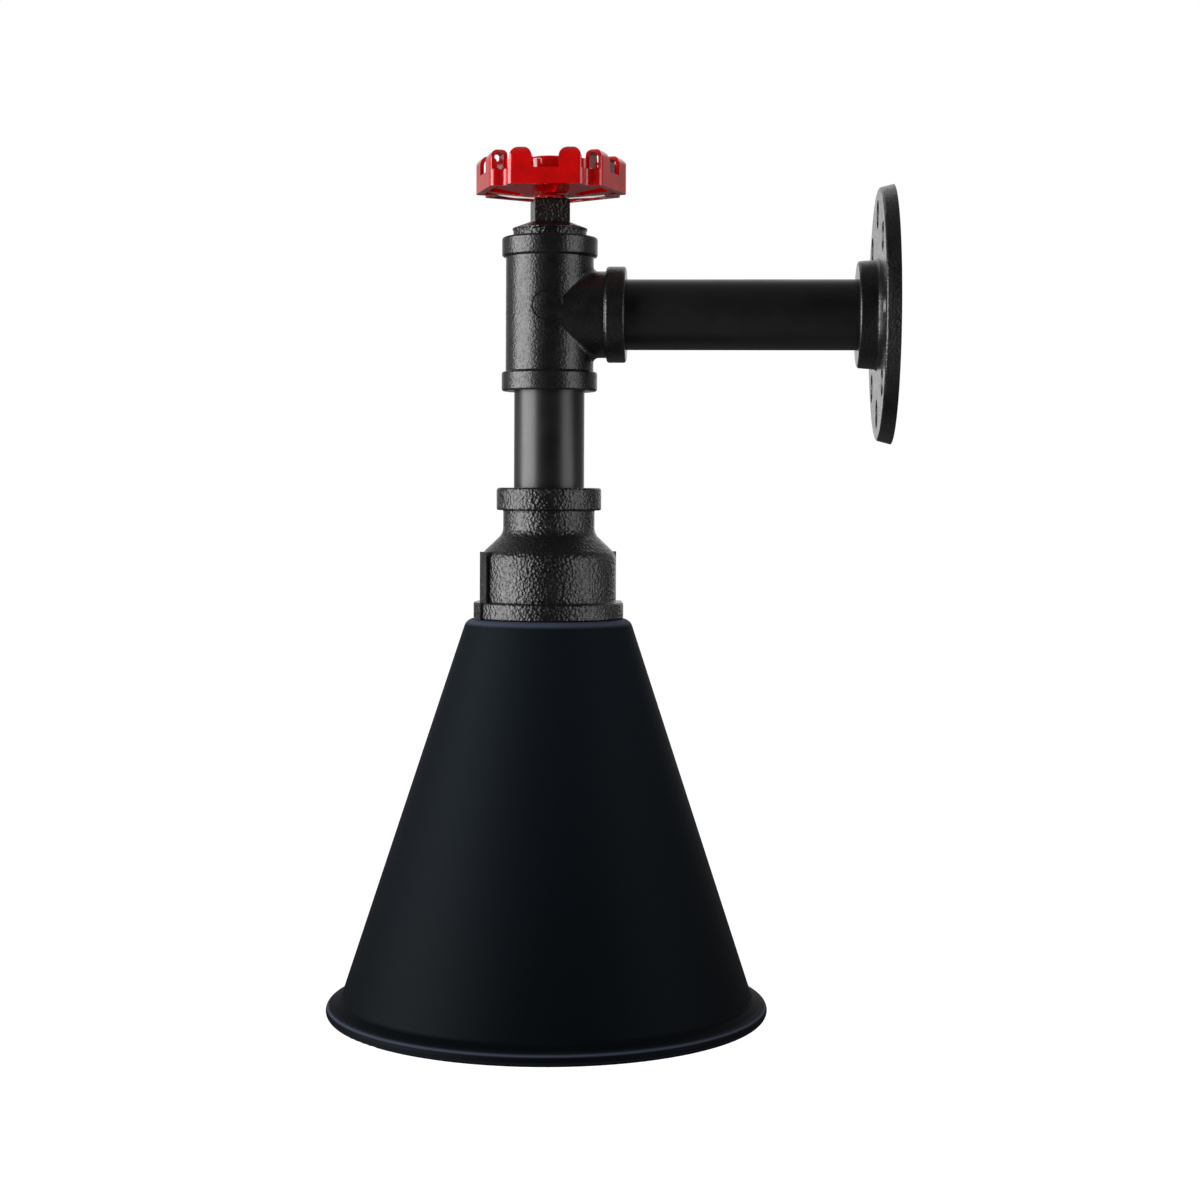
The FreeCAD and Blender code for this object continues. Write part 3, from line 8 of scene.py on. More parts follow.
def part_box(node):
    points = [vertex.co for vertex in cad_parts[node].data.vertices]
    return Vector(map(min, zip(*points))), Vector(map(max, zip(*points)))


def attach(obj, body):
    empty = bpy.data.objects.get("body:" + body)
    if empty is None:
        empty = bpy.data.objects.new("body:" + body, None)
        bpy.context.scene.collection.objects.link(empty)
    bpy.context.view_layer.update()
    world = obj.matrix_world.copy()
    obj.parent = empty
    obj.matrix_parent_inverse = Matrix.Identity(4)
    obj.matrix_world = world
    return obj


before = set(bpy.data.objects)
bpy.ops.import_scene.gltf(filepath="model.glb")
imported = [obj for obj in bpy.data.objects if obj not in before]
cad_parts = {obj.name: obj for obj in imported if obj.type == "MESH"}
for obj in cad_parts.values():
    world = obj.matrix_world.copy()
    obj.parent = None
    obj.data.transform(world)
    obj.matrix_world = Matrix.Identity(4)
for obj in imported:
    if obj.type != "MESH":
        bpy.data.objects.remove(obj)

bl_info = {
    "name": "Pipe wall light",
    "version": (1, 0, 0),
    "blender": (4, 5, 0),
    "location": "View3D > Sidebar > Light",
    "description": "Dresses a wall light of threaded pipe fittings and sets its stage",
    "category": "Object",
}

MM = 0.001


# Settings that a user would change

class StageSettings(bpy.types.PropertyGroup):
    camera_place: FloatVectorProperty(
        name="Camera place", description="Where the camera stands", default=(-0.066, -0.8374, -0.0694),
        subtype="TRANSLATION", unit="LENGTH")
    camera_turn: FloatProperty(
        name="Camera turn", description="How far the camera turns to the left",
        default=math.radians(3.03), subtype="ANGLE", unit="ROTATION")
    camera_pitch: FloatProperty(
        name="Camera pitch", description="How far the camera looks down",
        default=math.radians(1.14), subtype="ANGLE", unit="ROTATION")
    camera_roll: FloatProperty(
        name="Camera roll", description="How far the camera leans",
        default=math.radians(0.27), subtype="ANGLE", unit="ROTATION")
    camera_lens: FloatProperty(
        name="Lens", description="Focal length on a 36 mm sensor", default=65.7, unit="CAMERA")
    camera_drop: FloatProperty(
        name="Shift", description="Downward shift as a share of the frame", default=0.05)
    floor_level: FloatProperty(
        name="Floor level", description="Height of the floor", default=-0.9, unit="LENGTH")
    floor_reach: FloatProperty(
        name="Floor reach", description="Half the floor's width", default=14.0, unit="LENGTH")
    room_level: FloatProperty(
        name="Room light", description="Light that reaches the lamp from all round", default=0.4)
    front_gleam: FloatProperty(
        name="Front gleam", description="Brightness of the room's front in reflections", default=0.01)
    side_gleam: FloatProperty(
        name="Side gleam", description="Brightness of the room's sides in reflections", default=0.1)
    back_gleam: FloatProperty(
        name="Back gleam", description="Brightness of the backdrop in reflections", default=0.85)
    left_level: FloatProperty(
        name="Left softbox", description="Brightness of the softbox on the left", default=4.4)
    right_level: FloatProperty(
        name="Right softbox", description="Brightness of the softbox on the right", default=1.6)
    back_level: FloatProperty(
        name="Back softbox", description="Brightness of the softbox above and behind", default=0.3)


class FinishSettings(bpy.types.PropertyGroup):
    casting_colour: StringProperty(
        name="Casting paint", description="Colour of the painted castings", default="0C0C0D")
    pipe_colour: StringProperty(
        name="Pipe paint", description="Colour of the painted pipes", default="101011")
    shade_colour: StringProperty(
        name="Shade coat", description="Colour of the shade's powder coat at the crown", default="11161C")
    # The shade's lines are painted highlights over its crown and bead
    painted_highlight_colour: StringProperty(
        name="Shade lines", description="Colour of the thin coat over the shade's crown and bead",
        default="444A5A")
    wheel_colour: StringProperty(
        name="Wheel enamel", description="Colour of the handwheel", default="E00204")
    tee_grain: FloatProperty(
        name="Tee grain", description="Size of the sand grain left on the tee",
        default=0.9 * MM, unit="LENGTH", precision=5)
    socket_grain: FloatProperty(
        name="Socket grain", description="Size of the sand grain left on the reducing socket",
        default=1.1 * MM, unit="LENGTH", precision=5)
    powder_grain: FloatProperty(
        name="Powder grain", description="Size of the powder coat's texture",
        default=0.5 * MM, unit="LENGTH", precision=5)


class DetailSettings(bpy.types.PropertyGroup):
    thread_pitch: FloatProperty(
        name="Thread pitch", description="Pitch of the thread on the lampholder's skirt",
        default=2.6 * MM, unit="LENGTH", precision=5)
    thread_rise: FloatProperty(
        name="Thread rise", description="How far the skirt's thread stands out",
        default=0.7 * MM, unit="LENGTH", precision=5)


# Colours and nodes

def linear(hex_colour):
    """An sRGB hex colour as the linear RGBA that a shader reads."""
    channels = [int(hex_colour[at:at + 2], 16) / 255 for at in (0, 2, 4)]
    straight = [c / 12.92 if c <= 0.04045 else ((c + 0.055) / 1.055) ** 2.4 for c in channels]
    return (*straight, 1.0)


def shaded(hex_colour, share):
    """A colour made darker or lighter by a share of its own light."""
    red, green, blue, alpha = linear(hex_colour)
    return (red * share, green * share, blue * share, alpha)


def grey(level):
    """A plain number as a colour, for a ramp that sets a roughness or a share."""
    return (level, level, level, 1.0)


def add_node(material, kind, inputs=None, stops=(), **settings):
    """A node with its settings, a ramp's stops, and values or other nodes' outputs for its inputs."""
    tree = material.node_tree
    node = tree.nodes.new(kind)
    for _ in stops[2:]:
        node.color_ramp.elements.new(1.0)
    for index, (position, colour) in enumerate(stops):
        node.color_ramp.elements[index].position = position
        node.color_ramp.elements[index].color = colour
    for name, value in settings.items():
        if hasattr(node, name):
            setattr(node, name, value)
        else:
            node.inputs[name.replace("_", " ")].default_value = value
    for name, source in (inputs or {}).items():
        if isinstance(source, bpy.types.NodeSocket):
            tree.links.new(source, node.inputs[name])
        else:
            node.inputs[name].default_value = source
    return node


def new_material(name):
    """A material with an empty tree."""
    material = bpy.data.materials.new(name)
    material.use_nodes = True
    material.node_tree.nodes.clear()
    return material


def finish_surface(material, shader):
    """Lead a shader to the material's output."""
    add_node(material, "ShaderNodeOutputMaterial", {"Surface": shader.outputs[0]})
    return material


# Materials

def sand_cast_iron(name, hex_colour, grain, depth, roughness):
    """Malleable iron cast in sand and painted: the paint follows the pebbled skin, so highlights break up
    into small points and it is glossier on the peaks; its colour holds painted shade in the hollows and
    painted light on the peaks."""
    grits_per_grain, waves_per_grain = 0.9, 0.16
    painted_shade_in_hollows, painted_light_on_peaks = shaded(hex_colour, 0.75), shaded(hex_colour, 1.5)
    smoother, rougher = grey(roughness - 0.06), grey(roughness + 0.08)
    thin_gloss, full_gloss = grey(0.35), grey(1.0)
    material = new_material(name)
    place = add_node(material, "ShaderNodeTexCoord").outputs["Object"]
    pebbles = add_node(material, "ShaderNodeTexVoronoi", {"Vector": place},
                       feature="SMOOTH_F1", Scale=1 / grain, Smoothness=0.35)
    grit = add_node(material, "ShaderNodeTexNoise", {"Vector": place},
                    Scale=grits_per_grain / grain, Detail=4.0, Roughness=0.6)
    waves = add_node(material, "ShaderNodeTexNoise", {"Vector": place},
                     Scale=waves_per_grain / grain, Detail=2.0)
    skin = add_node(material, "ShaderNodeMix", {"A": pebbles.outputs["Distance"], "B": grit.outputs["Fac"]},
                    data_type="FLOAT", Factor=0.5)
    bump = add_node(material, "ShaderNodeBump", {"Height": skin.outputs[0]}, Strength=1.0, Distance=depth)
    # Painted shade in the hollows and painted light on the peaks, following the grit that also raises the
    # skin
    paint = add_node(material, "ShaderNodeValToRGB", {"Fac": grit.outputs["Fac"]},
                     stops=((0.3, painted_shade_in_hollows), (0.75, painted_light_on_peaks)))
    sheen = add_node(material, "ShaderNodeValToRGB", {"Fac": waves.outputs["Fac"]},
                     stops=((0.3, smoother), (0.7, rougher)))
    gloss = add_node(material, "ShaderNodeValToRGB", {"Fac": grit.outputs["Fac"]},
                     stops=((0.34, thin_gloss), (0.54, full_gloss)))
    shader = add_node(material, "ShaderNodeBsdfPrincipled",
                      {"Base Color": paint.outputs["Color"], "Roughness": sheen.outputs["Color"],
                       "Normal": bump.outputs["Normal"], "Coat Normal": bump.outputs["Normal"],
                       "Coat Weight": gloss.outputs["Color"]},
                      Coat_Roughness=0.2)
    return finish_surface(material, shader)


def drawn_tube_paint():
    """Cold-drawn steel tube under satin black lacquer: nearly smooth, with a fine
    tooth and broad patches that are a little paler and duller."""
    tooth_size, patch_size = 0.8 * MM, 9 * MM
    colour = bpy.context.scene.light_finishes.pipe_colour
    darker, paler = shaded(colour, 0.85), shaded(colour, 1.25)
    smoother, rougher = grey(0.36), grey(0.46)
    material = new_material("satin lacquer on drawn steel tube")
    place = add_node(material, "ShaderNodeTexCoord").outputs["Object"]
    tooth = add_node(material, "ShaderNodeTexNoise", {"Vector": place}, Scale=1 / tooth_size, Detail=4.0)
    patches = add_node(material, "ShaderNodeTexNoise", {"Vector": place}, Scale=1 / patch_size, Detail=3.0)
    bump = add_node(material, "ShaderNodeBump", {"Height": tooth.outputs["Fac"]},
                    Strength=0.25, Distance=0.05 * MM)
    paint = add_node(material, "ShaderNodeValToRGB", {"Fac": patches.outputs["Fac"]},
                     stops=((0.35, darker), (0.7, paler)))
    sheen = add_node(material, "ShaderNodeValToRGB", {"Fac": patches.outputs["Fac"]},
                     stops=((0.3, smoother), (0.7, rougher)))
    shader = add_node(material, "ShaderNodeBsdfPrincipled",
                      {"Base Color": paint.outputs["Color"], "Roughness": sheen.outputs["Color"],
                       "Normal": bump.outputs["Normal"], "Coat Normal": bump.outputs["Normal"]},
                      Coat_Weight=0.8, Coat_Roughness=0.3)
    return finish_surface(material, shader)


def stove_enamel():
    """Red stove enamel over a casting: a wet gloss with slight orange peel, darker
    in patches where it lies thicker."""
    peel_size, patch_size = 4 * MM, 7 * MM
    colour = bpy.context.scene.light_finishes.wheel_colour
    thick, thin = shaded(colour, 0.78), shaded(colour, 1.08)
    material = new_material("red stove enamel")
    place = add_node(material, "ShaderNodeTexCoord").outputs["Object"]
    peel = add_node(material, "ShaderNodeTexNoise", {"Vector": place}, Scale=1 / peel_size, Detail=1.0)
    patches = add_node(material, "ShaderNodeTexNoise", {"Vector": place}, Scale=1 / patch_size, Detail=3.0)
    bump = add_node(material, "ShaderNodeBump", {"Height": peel.outputs["Fac"]},
                    Strength=0.3, Distance=0.1 * MM)
    paint = add_node(material, "ShaderNodeValToRGB", {"Fac": patches.outputs["Fac"]},
                     stops=((0.3, thick), (0.7, thin)))
    shader = add_node(material, "ShaderNodeBsdfPrincipled",
                      {"Base Color": paint.outputs["Color"], "Normal": bump.outputs["Normal"],
                       "Coat Normal": bump.outputs["Normal"]},
                      Roughness=0.17, Coat_Weight=1.0, Coat_Roughness=0.04)
    return finish_surface(material, shader)


def powder_coat():
    """Matt blue-black powder coat on a spun steel cone: a fine even tooth, faint rings from the spinning
    roller, painted shade that darkens the colour towards the foot, and painted highlights as paler lines
    over the crown and the bead."""
    settings = bpy.context.scene.light_finishes
    ring_size, ring_share = 38 * MM, 0.25
    darker, paler = shaded(settings.shade_colour, 0.85), shaded(settings.shade_colour, 1.2)
    painted_shade_at_foot, unshaded_at_crown = grey(0.35), grey(1.0)
    bare, faint, full_painted_highlight = grey(0.0), grey(0.3), grey(1.0)
    # The painted highlights: the bead's two lines by their height over the foot in mm, and the crown's by
    # its depth below the top
    bead_highlights = ((1.0, bare), (1.3, faint), (1.9, bare), (3.7, bare), (4.2, full_painted_highlight), (4.8, bare))
    crown_highlight = ((2.3, bare), (1.1, full_painted_highlight))
    low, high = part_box("lampshade")
    tall = high.z - low.z
    lines = [(up * MM / tall, tone) for up, tone in bead_highlights]
    lines += [(1 - down * MM / tall, tone) for down, tone in crown_highlight]

    material = new_material("matt powder coat on spun steel")
    place = add_node(material, "ShaderNodeTexCoord").outputs["Object"]
    tooth = add_node(material, "ShaderNodeTexNoise", {"Vector": place},
                     Scale=1 / settings.powder_grain, Detail=3.0)
    rings = add_node(material, "ShaderNodeTexWave", {"Vector": place}, bands_direction="Z",
                     Scale=1 / ring_size, Distortion=0.8, Detail=2.0)
    low_rings = add_node(material, "ShaderNodeMath", {0: rings.outputs["Fac"], 1: ring_share},
                         operation="MULTIPLY")
    height = add_node(material, "ShaderNodeMath", {0: tooth.outputs["Fac"], 1: low_rings.outputs[0]},
                      operation="ADD")
    bump = add_node(material, "ShaderNodeBump", {"Height": height.outputs[0]},
                    Strength=0.3, Distance=0.05 * MM)
    paint = add_node(material, "ShaderNodeValToRGB", {"Fac": tooth.outputs["Fac"]},
                     stops=((0.3, darker), (0.7, paler)))
    level = add_node(material, "ShaderNodeSeparateXYZ", {"Vector": place}).outputs["Z"]
    share = add_node(material, "ShaderNodeMapRange", {"Value": level},
                     From_Min=low.z, From_Max=high.z).outputs["Result"]
    # Painted highlights: paler lines over the bead and the crown, set by height
    thin = add_node(material, "ShaderNodeValToRGB", {"Fac": share}, stops=lines)
    # Painted shade: the colour darkens from the crown towards the foot
    painted_shade_to_foot = add_node(material, "ShaderNodeValToRGB", {"Fac": share},
                    stops=((0.0, painted_shade_at_foot), (0.9, unshaded_at_crown)))
    body = add_node(material, "ShaderNodeMix", {"A": paint.outputs["Color"], "B": painted_shade_to_foot.outputs["Color"]},
                    data_type="RGBA", blend_type="MULTIPLY", Factor=1.0)
    coat = add_node(material, "ShaderNodeMix",
                    {"Factor": thin.outputs["Color"], "A": body.outputs["Result"],
                     "B": linear(settings.painted_highlight_colour)}, data_type="RGBA")
    shader = add_node(material, "ShaderNodeBsdfPrincipled",
                      {"Base Color": coat.outputs["Result"], "Normal": bump.outputs["Normal"]},
                      Roughness=0.58, Specular_IOR_Level=0.07, Specular_Tint=(0.72, 0.9, 1.0, 1.0))
    return finish_surface(material, shader)


def turned_metal(name, hex_colour, roughness, mark):
    """Bare metal, turned or stamped: bright, with fine marks that blur its reflections."""
    darker, paler = shaded(hex_colour, 0.85), shaded(hex_colour, 1.05)
    smoother, rougher = grey(roughness - 0.05), grey(roughness + 0.07)
    material = new_material(name)
    place = add_node(material, "ShaderNodeTexCoord").outputs["Object"]
    marks = add_node(material, "ShaderNodeTexNoise", {"Vector": place}, Scale=1 / mark, Detail=4.0)
    bump = add_node(material, "ShaderNodeBump", {"Height": marks.outputs["Fac"]},
                    Strength=0.3, Distance=0.03 * MM)
    sheen = add_node(material, "ShaderNodeValToRGB", {"Fac": marks.outputs["Fac"]},
                     stops=((0.3, smoother), (0.7, rougher)))
    tone = add_node(material, "ShaderNodeValToRGB", {"Fac": marks.outputs["Fac"]},
                    stops=((0.3, darker), (0.7, paler)))
    shader = add_node(material, "ShaderNodeBsdfPrincipled",
                      {"Base Color": tone.outputs["Color"], "Roughness": sheen.outputs["Color"],
                       "Normal": bump.outputs["Normal"]}, Metallic=1.0)
    return finish_surface(material, shader)


def moulded(name, hex_colour, roughness, texture):
    """Moulded or fired material with an even, slightly mottled surface."""
    darker, paler = shaded(hex_colour, 0.88), shaded(hex_colour, 1.1)
    material = new_material(name)
    place = add_node(material, "ShaderNodeTexCoord").outputs["Object"]
    mottle = add_node(material, "ShaderNodeTexNoise", {"Vector": place}, Scale=1 / texture, Detail=3.0)
    bump = add_node(material, "ShaderNodeBump", {"Height": mottle.outputs["Fac"]},
                    Strength=0.2, Distance=0.04 * MM)
    tone = add_node(material, "ShaderNodeValToRGB", {"Fac": mottle.outputs["Fac"]},
                    stops=((0.3, darker), (0.7, paler)))
    shader = add_node(material, "ShaderNodeBsdfPrincipled",
                      {"Base Color": tone.outputs["Color"], "Normal": bump.outputs["Normal"]},
                      Roughness=roughness)
    return finish_surface(material, shader)


def striped_sleeve():
    """Soft vinyl sleeve of the earth lead: green with slanting yellow stripes and a soft gloss."""
    stripe_size = 9 * MM
    green, yellow = linear("2E7D32"), linear("E3C81E")
    material = new_material("striped soft vinyl sleeve")
    place = add_node(material, "ShaderNodeTexCoord").outputs["Object"]
    stripes = add_node(material, "ShaderNodeTexWave", {"Vector": place}, bands_direction="DIAGONAL",
                       Scale=1 / stripe_size)
    tone = add_node(material, "ShaderNodeValToRGB", {"Fac": stripes.outputs["Fac"]},
                    stops=((0.48, green), (0.52, yellow)))
    shader = add_node(material, "ShaderNodeBsdfPrincipled", {"Base Color": tone.outputs["Color"]},
                      Roughness=0.45)
    return finish_surface(material, shader)


def blown_glass():
    """Clear soda-lime glass, blown thin: it shows by its edges and reflections."""
    drift_size = 14 * MM
    material = new_material("clear blown glass")
    place = add_node(material, "ShaderNodeTexCoord").outputs["Object"]
    drift = add_node(material, "ShaderNodeTexNoise", {"Vector": place}, Scale=1 / drift_size, Detail=1.0)
    bump = add_node(material, "ShaderNodeBump", {"Height": drift.outputs["Fac"]},
                    Strength=0.15, Distance=0.1 * MM)
    shader = add_node(material, "ShaderNodeBsdfPrincipled", {"Normal": bump.outputs["Normal"]},
                      Roughness=0.02, IOR=1.5, Transmission_Weight=1.0)
    return finish_surface(material, shader)


# Which nodes take which finish

FINE_CASTINGS = ("wall_flange", "tee")
COARSE_CASTINGS = ("top_plug", "reducer_socket")
PIPES = ("arm_pipe", "drop_pipe")
STEEL = ("wheel_screw", "wheel_washer", "holder_plate", "hollow_nipple", "nipple_washer",
         "nipple_locknut", "terminal_screws", "earth_lug", "earth_screw")
BRASS = ("screw_shell", "centre_contact", "live_terminal", "neutral_terminal")
PHENOLIC = ("lampholder_cap", "lampholder_skirt", "shade_ring")


def dress(nodes, material):
    """Put a material on whole CAD nodes, through their objects' slots."""
    for name in nodes:
        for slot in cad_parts[name].material_slots:
            slot.material = material


class LIGHT_OT_fittings(bpy.types.Operator):
    """Paint the castings and pipes"""
    bl_idname = "pipelight.fittings"
    bl_label = "Fittings"

    def execute(self, context):
        finishes = context.scene.light_finishes
        # The tee and flange came from fine sand, the plug and socket from coarse
        dress(FINE_CASTINGS, sand_cast_iron(
            "painted sand-cast iron, fine skin", finishes.casting_colour,
            grain=finishes.tee_grain, depth=0.17 * MM, roughness=0.38))
        dress(COARSE_CASTINGS, sand_cast_iron(
            "painted sand-cast iron, coarse skin", finishes.casting_colour,
            grain=finishes.socket_grain, depth=0.58 * MM, roughness=0.33))
        dress(PIPES, drawn_tube_paint())
        return {"FINISHED"}


class LIGHT_OT_handwheel(bpy.types.Operator):
    """Enamel the handwheel and finish the light's steel hardware"""
    bl_idname = "pipelight.handwheel"
    bl_label = "Handwheel"

    def execute(self, context):
        dress(("handwheel",), stove_enamel())
        # Zinc plate gives turned steel a cool, even brightness
        dress(STEEL, turned_metal("zinc-plated turned steel", "B9BBBD", roughness=0.3, mark=0.6 * MM))
        return {"FINISHED"}


class LIGHT_OT_shade(bpy.types.Operator):
    """Coat the spun cone shade"""
    bl_idname = "pipelight.shade"
    bl_label = "Shade"

    def execute(self, context):
        dress(("lampshade",), powder_coat())
        return {"FINISHED"}


class LIGHT_OT_holder(bpy.types.Operator):
    """Finish the lampholder's insulators, contacts and leads"""
    bl_idname = "pipelight.holder"
    bl_label = "Lampholder"

    def execute(self, context):
        # Phenolic has a dull black gloss, steatite the white of unglazed china, and brass a yellow shine
        dress(PHENOLIC, moulded("black moulded phenolic", "17171A", roughness=0.34, texture=2.5 * MM))
        dress(("lampholder_core",), moulded("fired steatite", "E9E3D6", roughness=0.4, texture=1.5 * MM))
        dress(BRASS, turned_metal("stamped brass", "C9A24E", roughness=0.28, mark=0.8 * MM))
        # Vinyl sleeves are evenly coloured and softly glossy
        for lead, name, colour in (("live_lead", "brown soft vinyl sleeve", "5A2F17"),
                                   ("neutral_lead", "blue soft vinyl sleeve", "1C4FA0")):
            dress((lead,), moulded(name, colour, roughness=0.45, texture=1.2 * MM))
        dress(("earth_lead",), striped_sleeve())
        return {"FINISHED"}


class LIGHT_OT_bulb(bpy.types.Operator):
    """Finish the bulb's glass, cap and contact"""
    bl_idname = "pipelight.bulb"
    bl_label = "Bulb"

    def execute(self, context):
        dress(("bulb_glass", "bulb_stem"), blown_glass())
        # Rolled aluminium is pale and silky, vitrite black and shiny, and the wire a dull grey
        dress(("bulb_cap", "bulb_contact"),
              turned_metal("rolled aluminium", "C8CACC", roughness=0.3, mark=0.7 * MM))
        dress(("bulb_insulator",), moulded("black vitrite glass", "0B0B0D", roughness=0.12, texture=2 * MM))
        dress(("bulb_filament",),
              turned_metal("drawn support wire", "8E9094", roughness=0.35, mark=0.4 * MM))
        return {"FINISHED"}


# Pieces that are modelled here

def clear_selection():
    """Leave edit mode with nothing selected."""
    if bpy.context.mode != "OBJECT":
        bpy.ops.object.mode_set(mode="OBJECT")
    bpy.ops.object.select_all(action="DESELECT")


def wind_thread(name, ridge, radius, pitch, turns, foot):
    """A ridge wound into a screw about an upright axis that starts at foot, with its ends closed."""
    steps_per_turn = 64
    merge_distance = 0.000001
    smooth_under = math.radians(40)
    clear_selection()
    bpy.ops.mesh.primitive_circle_add(vertices=ridge["sides"], radius=ridge["rise"], fill_type="NGON",
                                      location=(radius, 0, 0), rotation=(math.pi / 2, 0, 0))
    thread = bpy.context.active_object
    thread.name = name
    bpy.ops.object.transform_apply(location=True, rotation=True, scale=True)
    bpy.ops.object.mode_set(mode="EDIT")
    bpy.ops.mesh.select_all(action="SELECT")
    bpy.ops.transform.resize(value=ridge["stretch"], center_override=(radius, 0, 0))
    bpy.ops.mesh.delete(type="ONLY_FACE")
    bpy.ops.object.mode_set(mode="OBJECT")
    screw = thread.modifiers.new("winding", "SCREW")
    screw.axis = "Z"
    screw.steps = steps_per_turn
    screw.render_steps = steps_per_turn
    screw.screw_offset = pitch
    screw.iterations = turns
    bpy.ops.object.modifier_apply(modifier=screw.name)
    bpy.ops.object.mode_set(mode="EDIT")
    bpy.ops.mesh.select_all(action="SELECT")
    bpy.ops.mesh.remove_doubles(threshold=merge_distance)
    bpy.ops.mesh.select_all(action="DESELECT")
    bpy.ops.mesh.select_mode(type="EDGE")
    bpy.ops.mesh.select_non_manifold()
    bpy.ops.mesh.edge_face_add()
    bpy.ops.mesh.select_all(action="SELECT")
    bpy.ops.mesh.normals_make_consistent(inside=False)
    bpy.ops.object.mode_set(mode="OBJECT")
    bpy.ops.object.shade_smooth_by_angle(angle=smooth_under)
    thread.data.transform(Matrix.Translation(foot))
    return thread


class LIGHT_OT_thread(bpy.types.Operator):
    """Wind the shade ring's thread on the lampholder's skirt"""
    bl_idname = "pipelight.thread"
    bl_label = "Skirt thread"

    def execute(self, context):
        details = context.scene.light_details
        below_ring, plain_ends, sunk_in = 1.5 * MM, 6 * MM, 0.05 * MM
        low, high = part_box("lampholder_skirt")
        ring_low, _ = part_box("shade_ring")
        axis = (low + high) / 2
        skirt_radius = (high.x - low.x) / 2
        span = ring_low.z - low.z - plain_ends
        turns = int(span / details.thread_pitch)
        start = ring_low.z - below_ring - turns * details.thread_pitch
        ridge = {"sides": 6, "rise": details.thread_rise, "stretch": (1.0, 1.0, 0.8)}
        thread = wind_thread("skirt_thread", ridge, skirt_radius - sunk_in, details.thread_pitch, turns,
                             Vector((axis.x, axis.y, start)))
        thread.data.materials.append(bpy.data.materials["black moulded phenolic"])
        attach(thread, "lamp")
        return {"FINISHED"}


# Stage

def softbox(name, middle, azimuth, height, reach, across, tall, level):
    """A softbox of even brightness that faces the lamp, its azimuth counted from the front to the right."""
    light = bpy.data.lights.new(name, "AREA")
    light.shape = "RECTANGLE"
    light.size = across
    light.size_y = tall
    light.energy = level * math.pi * across * tall
    place = middle + Vector((reach * math.sin(azimuth), -reach * math.cos(azimuth), height))
    lamp = bpy.data.objects.new(name, light)
    lamp.location = place
    lamp.rotation_euler = (middle - place).to_track_quat("-Z", "Y").to_euler()
    bpy.context.scene.collection.objects.link(lamp)


def seen_directly(material):
    """1 for what the eye sees straight or through glass, else 0."""
    path = add_node(material, "ShaderNodeLightPath")
    return add_node(material, "ShaderNodeMath",
                    {0: path.outputs["Is Camera Ray"], 1: path.outputs["Is Transmission Ray"]},
                    operation="MAXIMUM").outputs[0]


def pale_floor():
    """Matt white studio paper that still takes a shadow, and throws little light back up."""
    glow_level = 0.72
    dull, white = linear("5A5A5A"), linear("F2F2F2")
    material = new_material("matt white studio paper")
    direct = seen_directly(material)
    glow = add_node(material, "ShaderNodeMath", {0: direct, 1: glow_level}, operation="MULTIPLY")
    paper = add_node(material, "ShaderNodeMix", {"Factor": direct, "A": dull, "B": white}, data_type="RGBA")
    shader = add_node(material, "ShaderNodeBsdfPrincipled",
                      {"Base Color": paper.outputs["Result"], "Emission Strength": glow.outputs[0]},
                      Roughness=0.9, Emission_Color=(1, 1, 1, 1))
    return finish_surface(material, shader)


def studio_room(stage):
    """A room that is white to the eye and through glass and softer as a light, and in
    reflections dim in front and at the sides and bright only straight behind."""
    front, side = grey(stage.front_gleam), grey(stage.side_gleam)
    near_back, back = grey(stage.side_gleam * 2), grey(stage.back_gleam)
    white = 1.0
    world = bpy.data.worlds.new("studio")
    world.use_nodes = True
    world.node_tree.nodes.clear()
    path = add_node(world, "ShaderNodeLightPath")
    way = add_node(world, "ShaderNodeTexCoord").outputs["Generated"]
    depth = add_node(world, "ShaderNodeSeparateXYZ", {"Vector": way}).outputs["Y"]
    turn = add_node(world, "ShaderNodeMapRange", {"Value": depth}, From_Min=-1.0, From_Max=1.0)
    gleam = add_node(world, "ShaderNodeValToRGB", {"Fac": turn.outputs["Result"]},
                     stops=((0.1, front), (0.5, side), (0.92, near_back), (1.0, back)))
    unseen = add_node(world, "ShaderNodeMix",
                      {"Factor": path.outputs["Is Glossy Ray"], "A": stage.room_level,
                       "B": gleam.outputs["Color"]}, data_type="FLOAT")
    level = add_node(world, "ShaderNodeMix",
                     {"Factor": seen_directly(world), "A": unseen.outputs["Result"], "B": white},
                     data_type="FLOAT")
    sky = add_node(world, "ShaderNodeBackground", {"Strength": level.outputs["Result"]}, Color=(1, 1, 1, 1))
    add_node(world, "ShaderNodeOutputWorld", {"Surface": sky.outputs[0]})
    return world


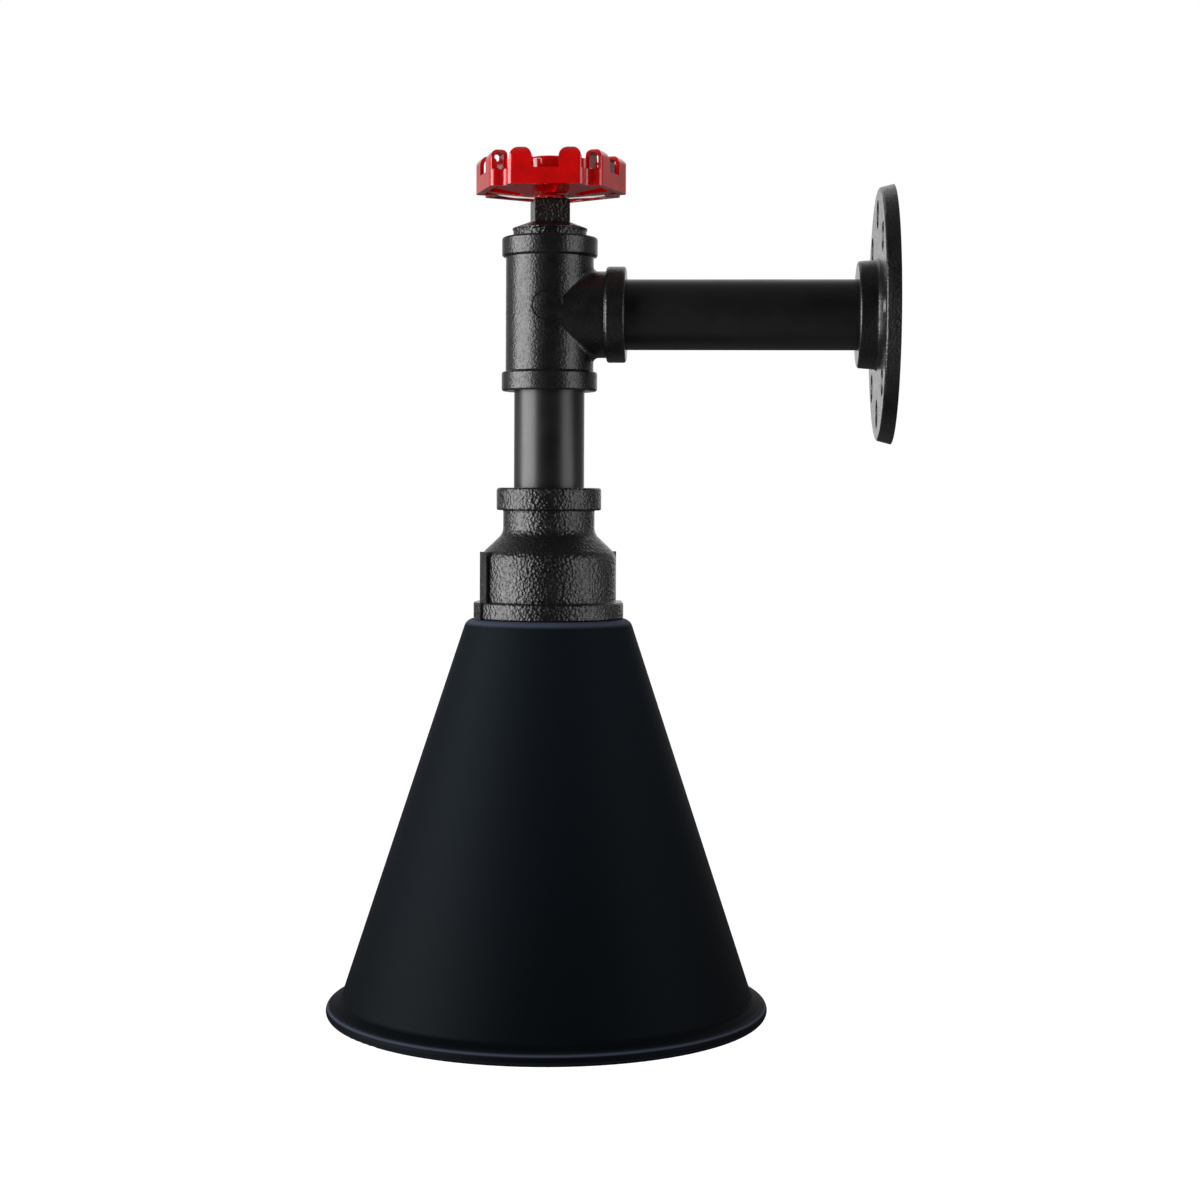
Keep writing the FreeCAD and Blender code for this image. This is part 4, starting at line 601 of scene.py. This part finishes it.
class LIGHT_OT_stage(bpy.types.Operator):
    """Lay the floor, hang the soft lights and place the camera"""
    bl_idname = "pipelight.stage"
    bl_label = "Stage"

    def execute(self, context):
        stage = context.scene.light_stage
        clear_selection()
        bpy.ops.mesh.primitive_plane_add(size=stage.floor_reach * 2, location=(0, 0, stage.floor_level))
        floor = context.active_object
        floor.name = "floor"
        floor.data.materials.append(pale_floor())
        context.scene.world = studio_room(stage)

        middle = Vector((-0.13, 0.0, -0.08))
        softbox("left softbox", middle, azimuth=math.radians(-69.5), height=0.0, reach=1.3,
                across=1.3, tall=1.3, level=stage.left_level)
        softbox("right softbox", middle, azimuth=math.radians(68), height=0.0, reach=1.35,
                across=1.0, tall=1.3, level=stage.right_level)
        softbox("back softbox", middle, azimuth=math.radians(180), height=0.75, reach=0.9,
                across=1.2, tall=0.6, level=stage.back_level)

        eye = bpy.data.cameras.new("camera")
        eye.lens = stage.camera_lens
        eye.sensor_width = 36
        eye.shift_y = -stage.camera_drop
        camera = bpy.data.objects.new("camera", eye)
        camera.location = stage.camera_place
        turn = Matrix.Rotation(stage.camera_turn, 4, "Z")
        upright = Matrix.Rotation(math.pi / 2 - stage.camera_pitch, 4, "X")
        lean = Matrix.Rotation(stage.camera_roll, 4, "Z")
        camera.rotation_euler = (turn @ upright @ lean).to_euler()
        context.scene.collection.objects.link(camera)
        context.scene.camera = camera
        context.scene.view_settings.view_transform = "Standard"
        return {"FINISHED"}


# Panel and registration

class LIGHT_PT_panel(bpy.types.Panel):
    """The light's settings and steps"""
    bl_idname = "LIGHT_PT_panel"
    bl_label = "Pipe wall light"
    bl_space_type = "VIEW_3D"
    bl_region_type = "UI"
    bl_category = "Light"

    def draw(self, context):
        for group in (context.scene.light_stage, context.scene.light_finishes, context.scene.light_details):
            box = self.layout.box()
            for name in group.__annotations__:
                box.prop(group, name)
        for step in STEPS:
            self.layout.operator(step.bl_idname)


STEPS = (LIGHT_OT_stage, LIGHT_OT_fittings, LIGHT_OT_handwheel, LIGHT_OT_shade, LIGHT_OT_holder,
         LIGHT_OT_bulb, LIGHT_OT_thread)
GROUPS = {"light_stage": StageSettings, "light_finishes": FinishSettings, "light_details": DetailSettings}


def register():
    for kind in (*GROUPS.values(), *STEPS, LIGHT_PT_panel):
        bpy.utils.register_class(kind)
    for name, group in GROUPS.items():
        setattr(bpy.types.Scene, name, PointerProperty(type=group))


def unregister():
    for name in GROUPS:
        delattr(bpy.types.Scene, name)
    for kind in (LIGHT_PT_panel, *reversed(STEPS), *GROUPS.values()):
        bpy.utils.unregister_class(kind)


# The run


def main():
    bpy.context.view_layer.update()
    register()
    bpy.ops.pipelight.stage()
    bpy.ops.pipelight.fittings()
    bpy.ops.pipelight.handwheel()
    bpy.ops.pipelight.shade()
    bpy.ops.pipelight.holder()
    bpy.ops.pipelight.bulb()
    bpy.ops.pipelight.thread()


if __name__ == "__main__":
    main()
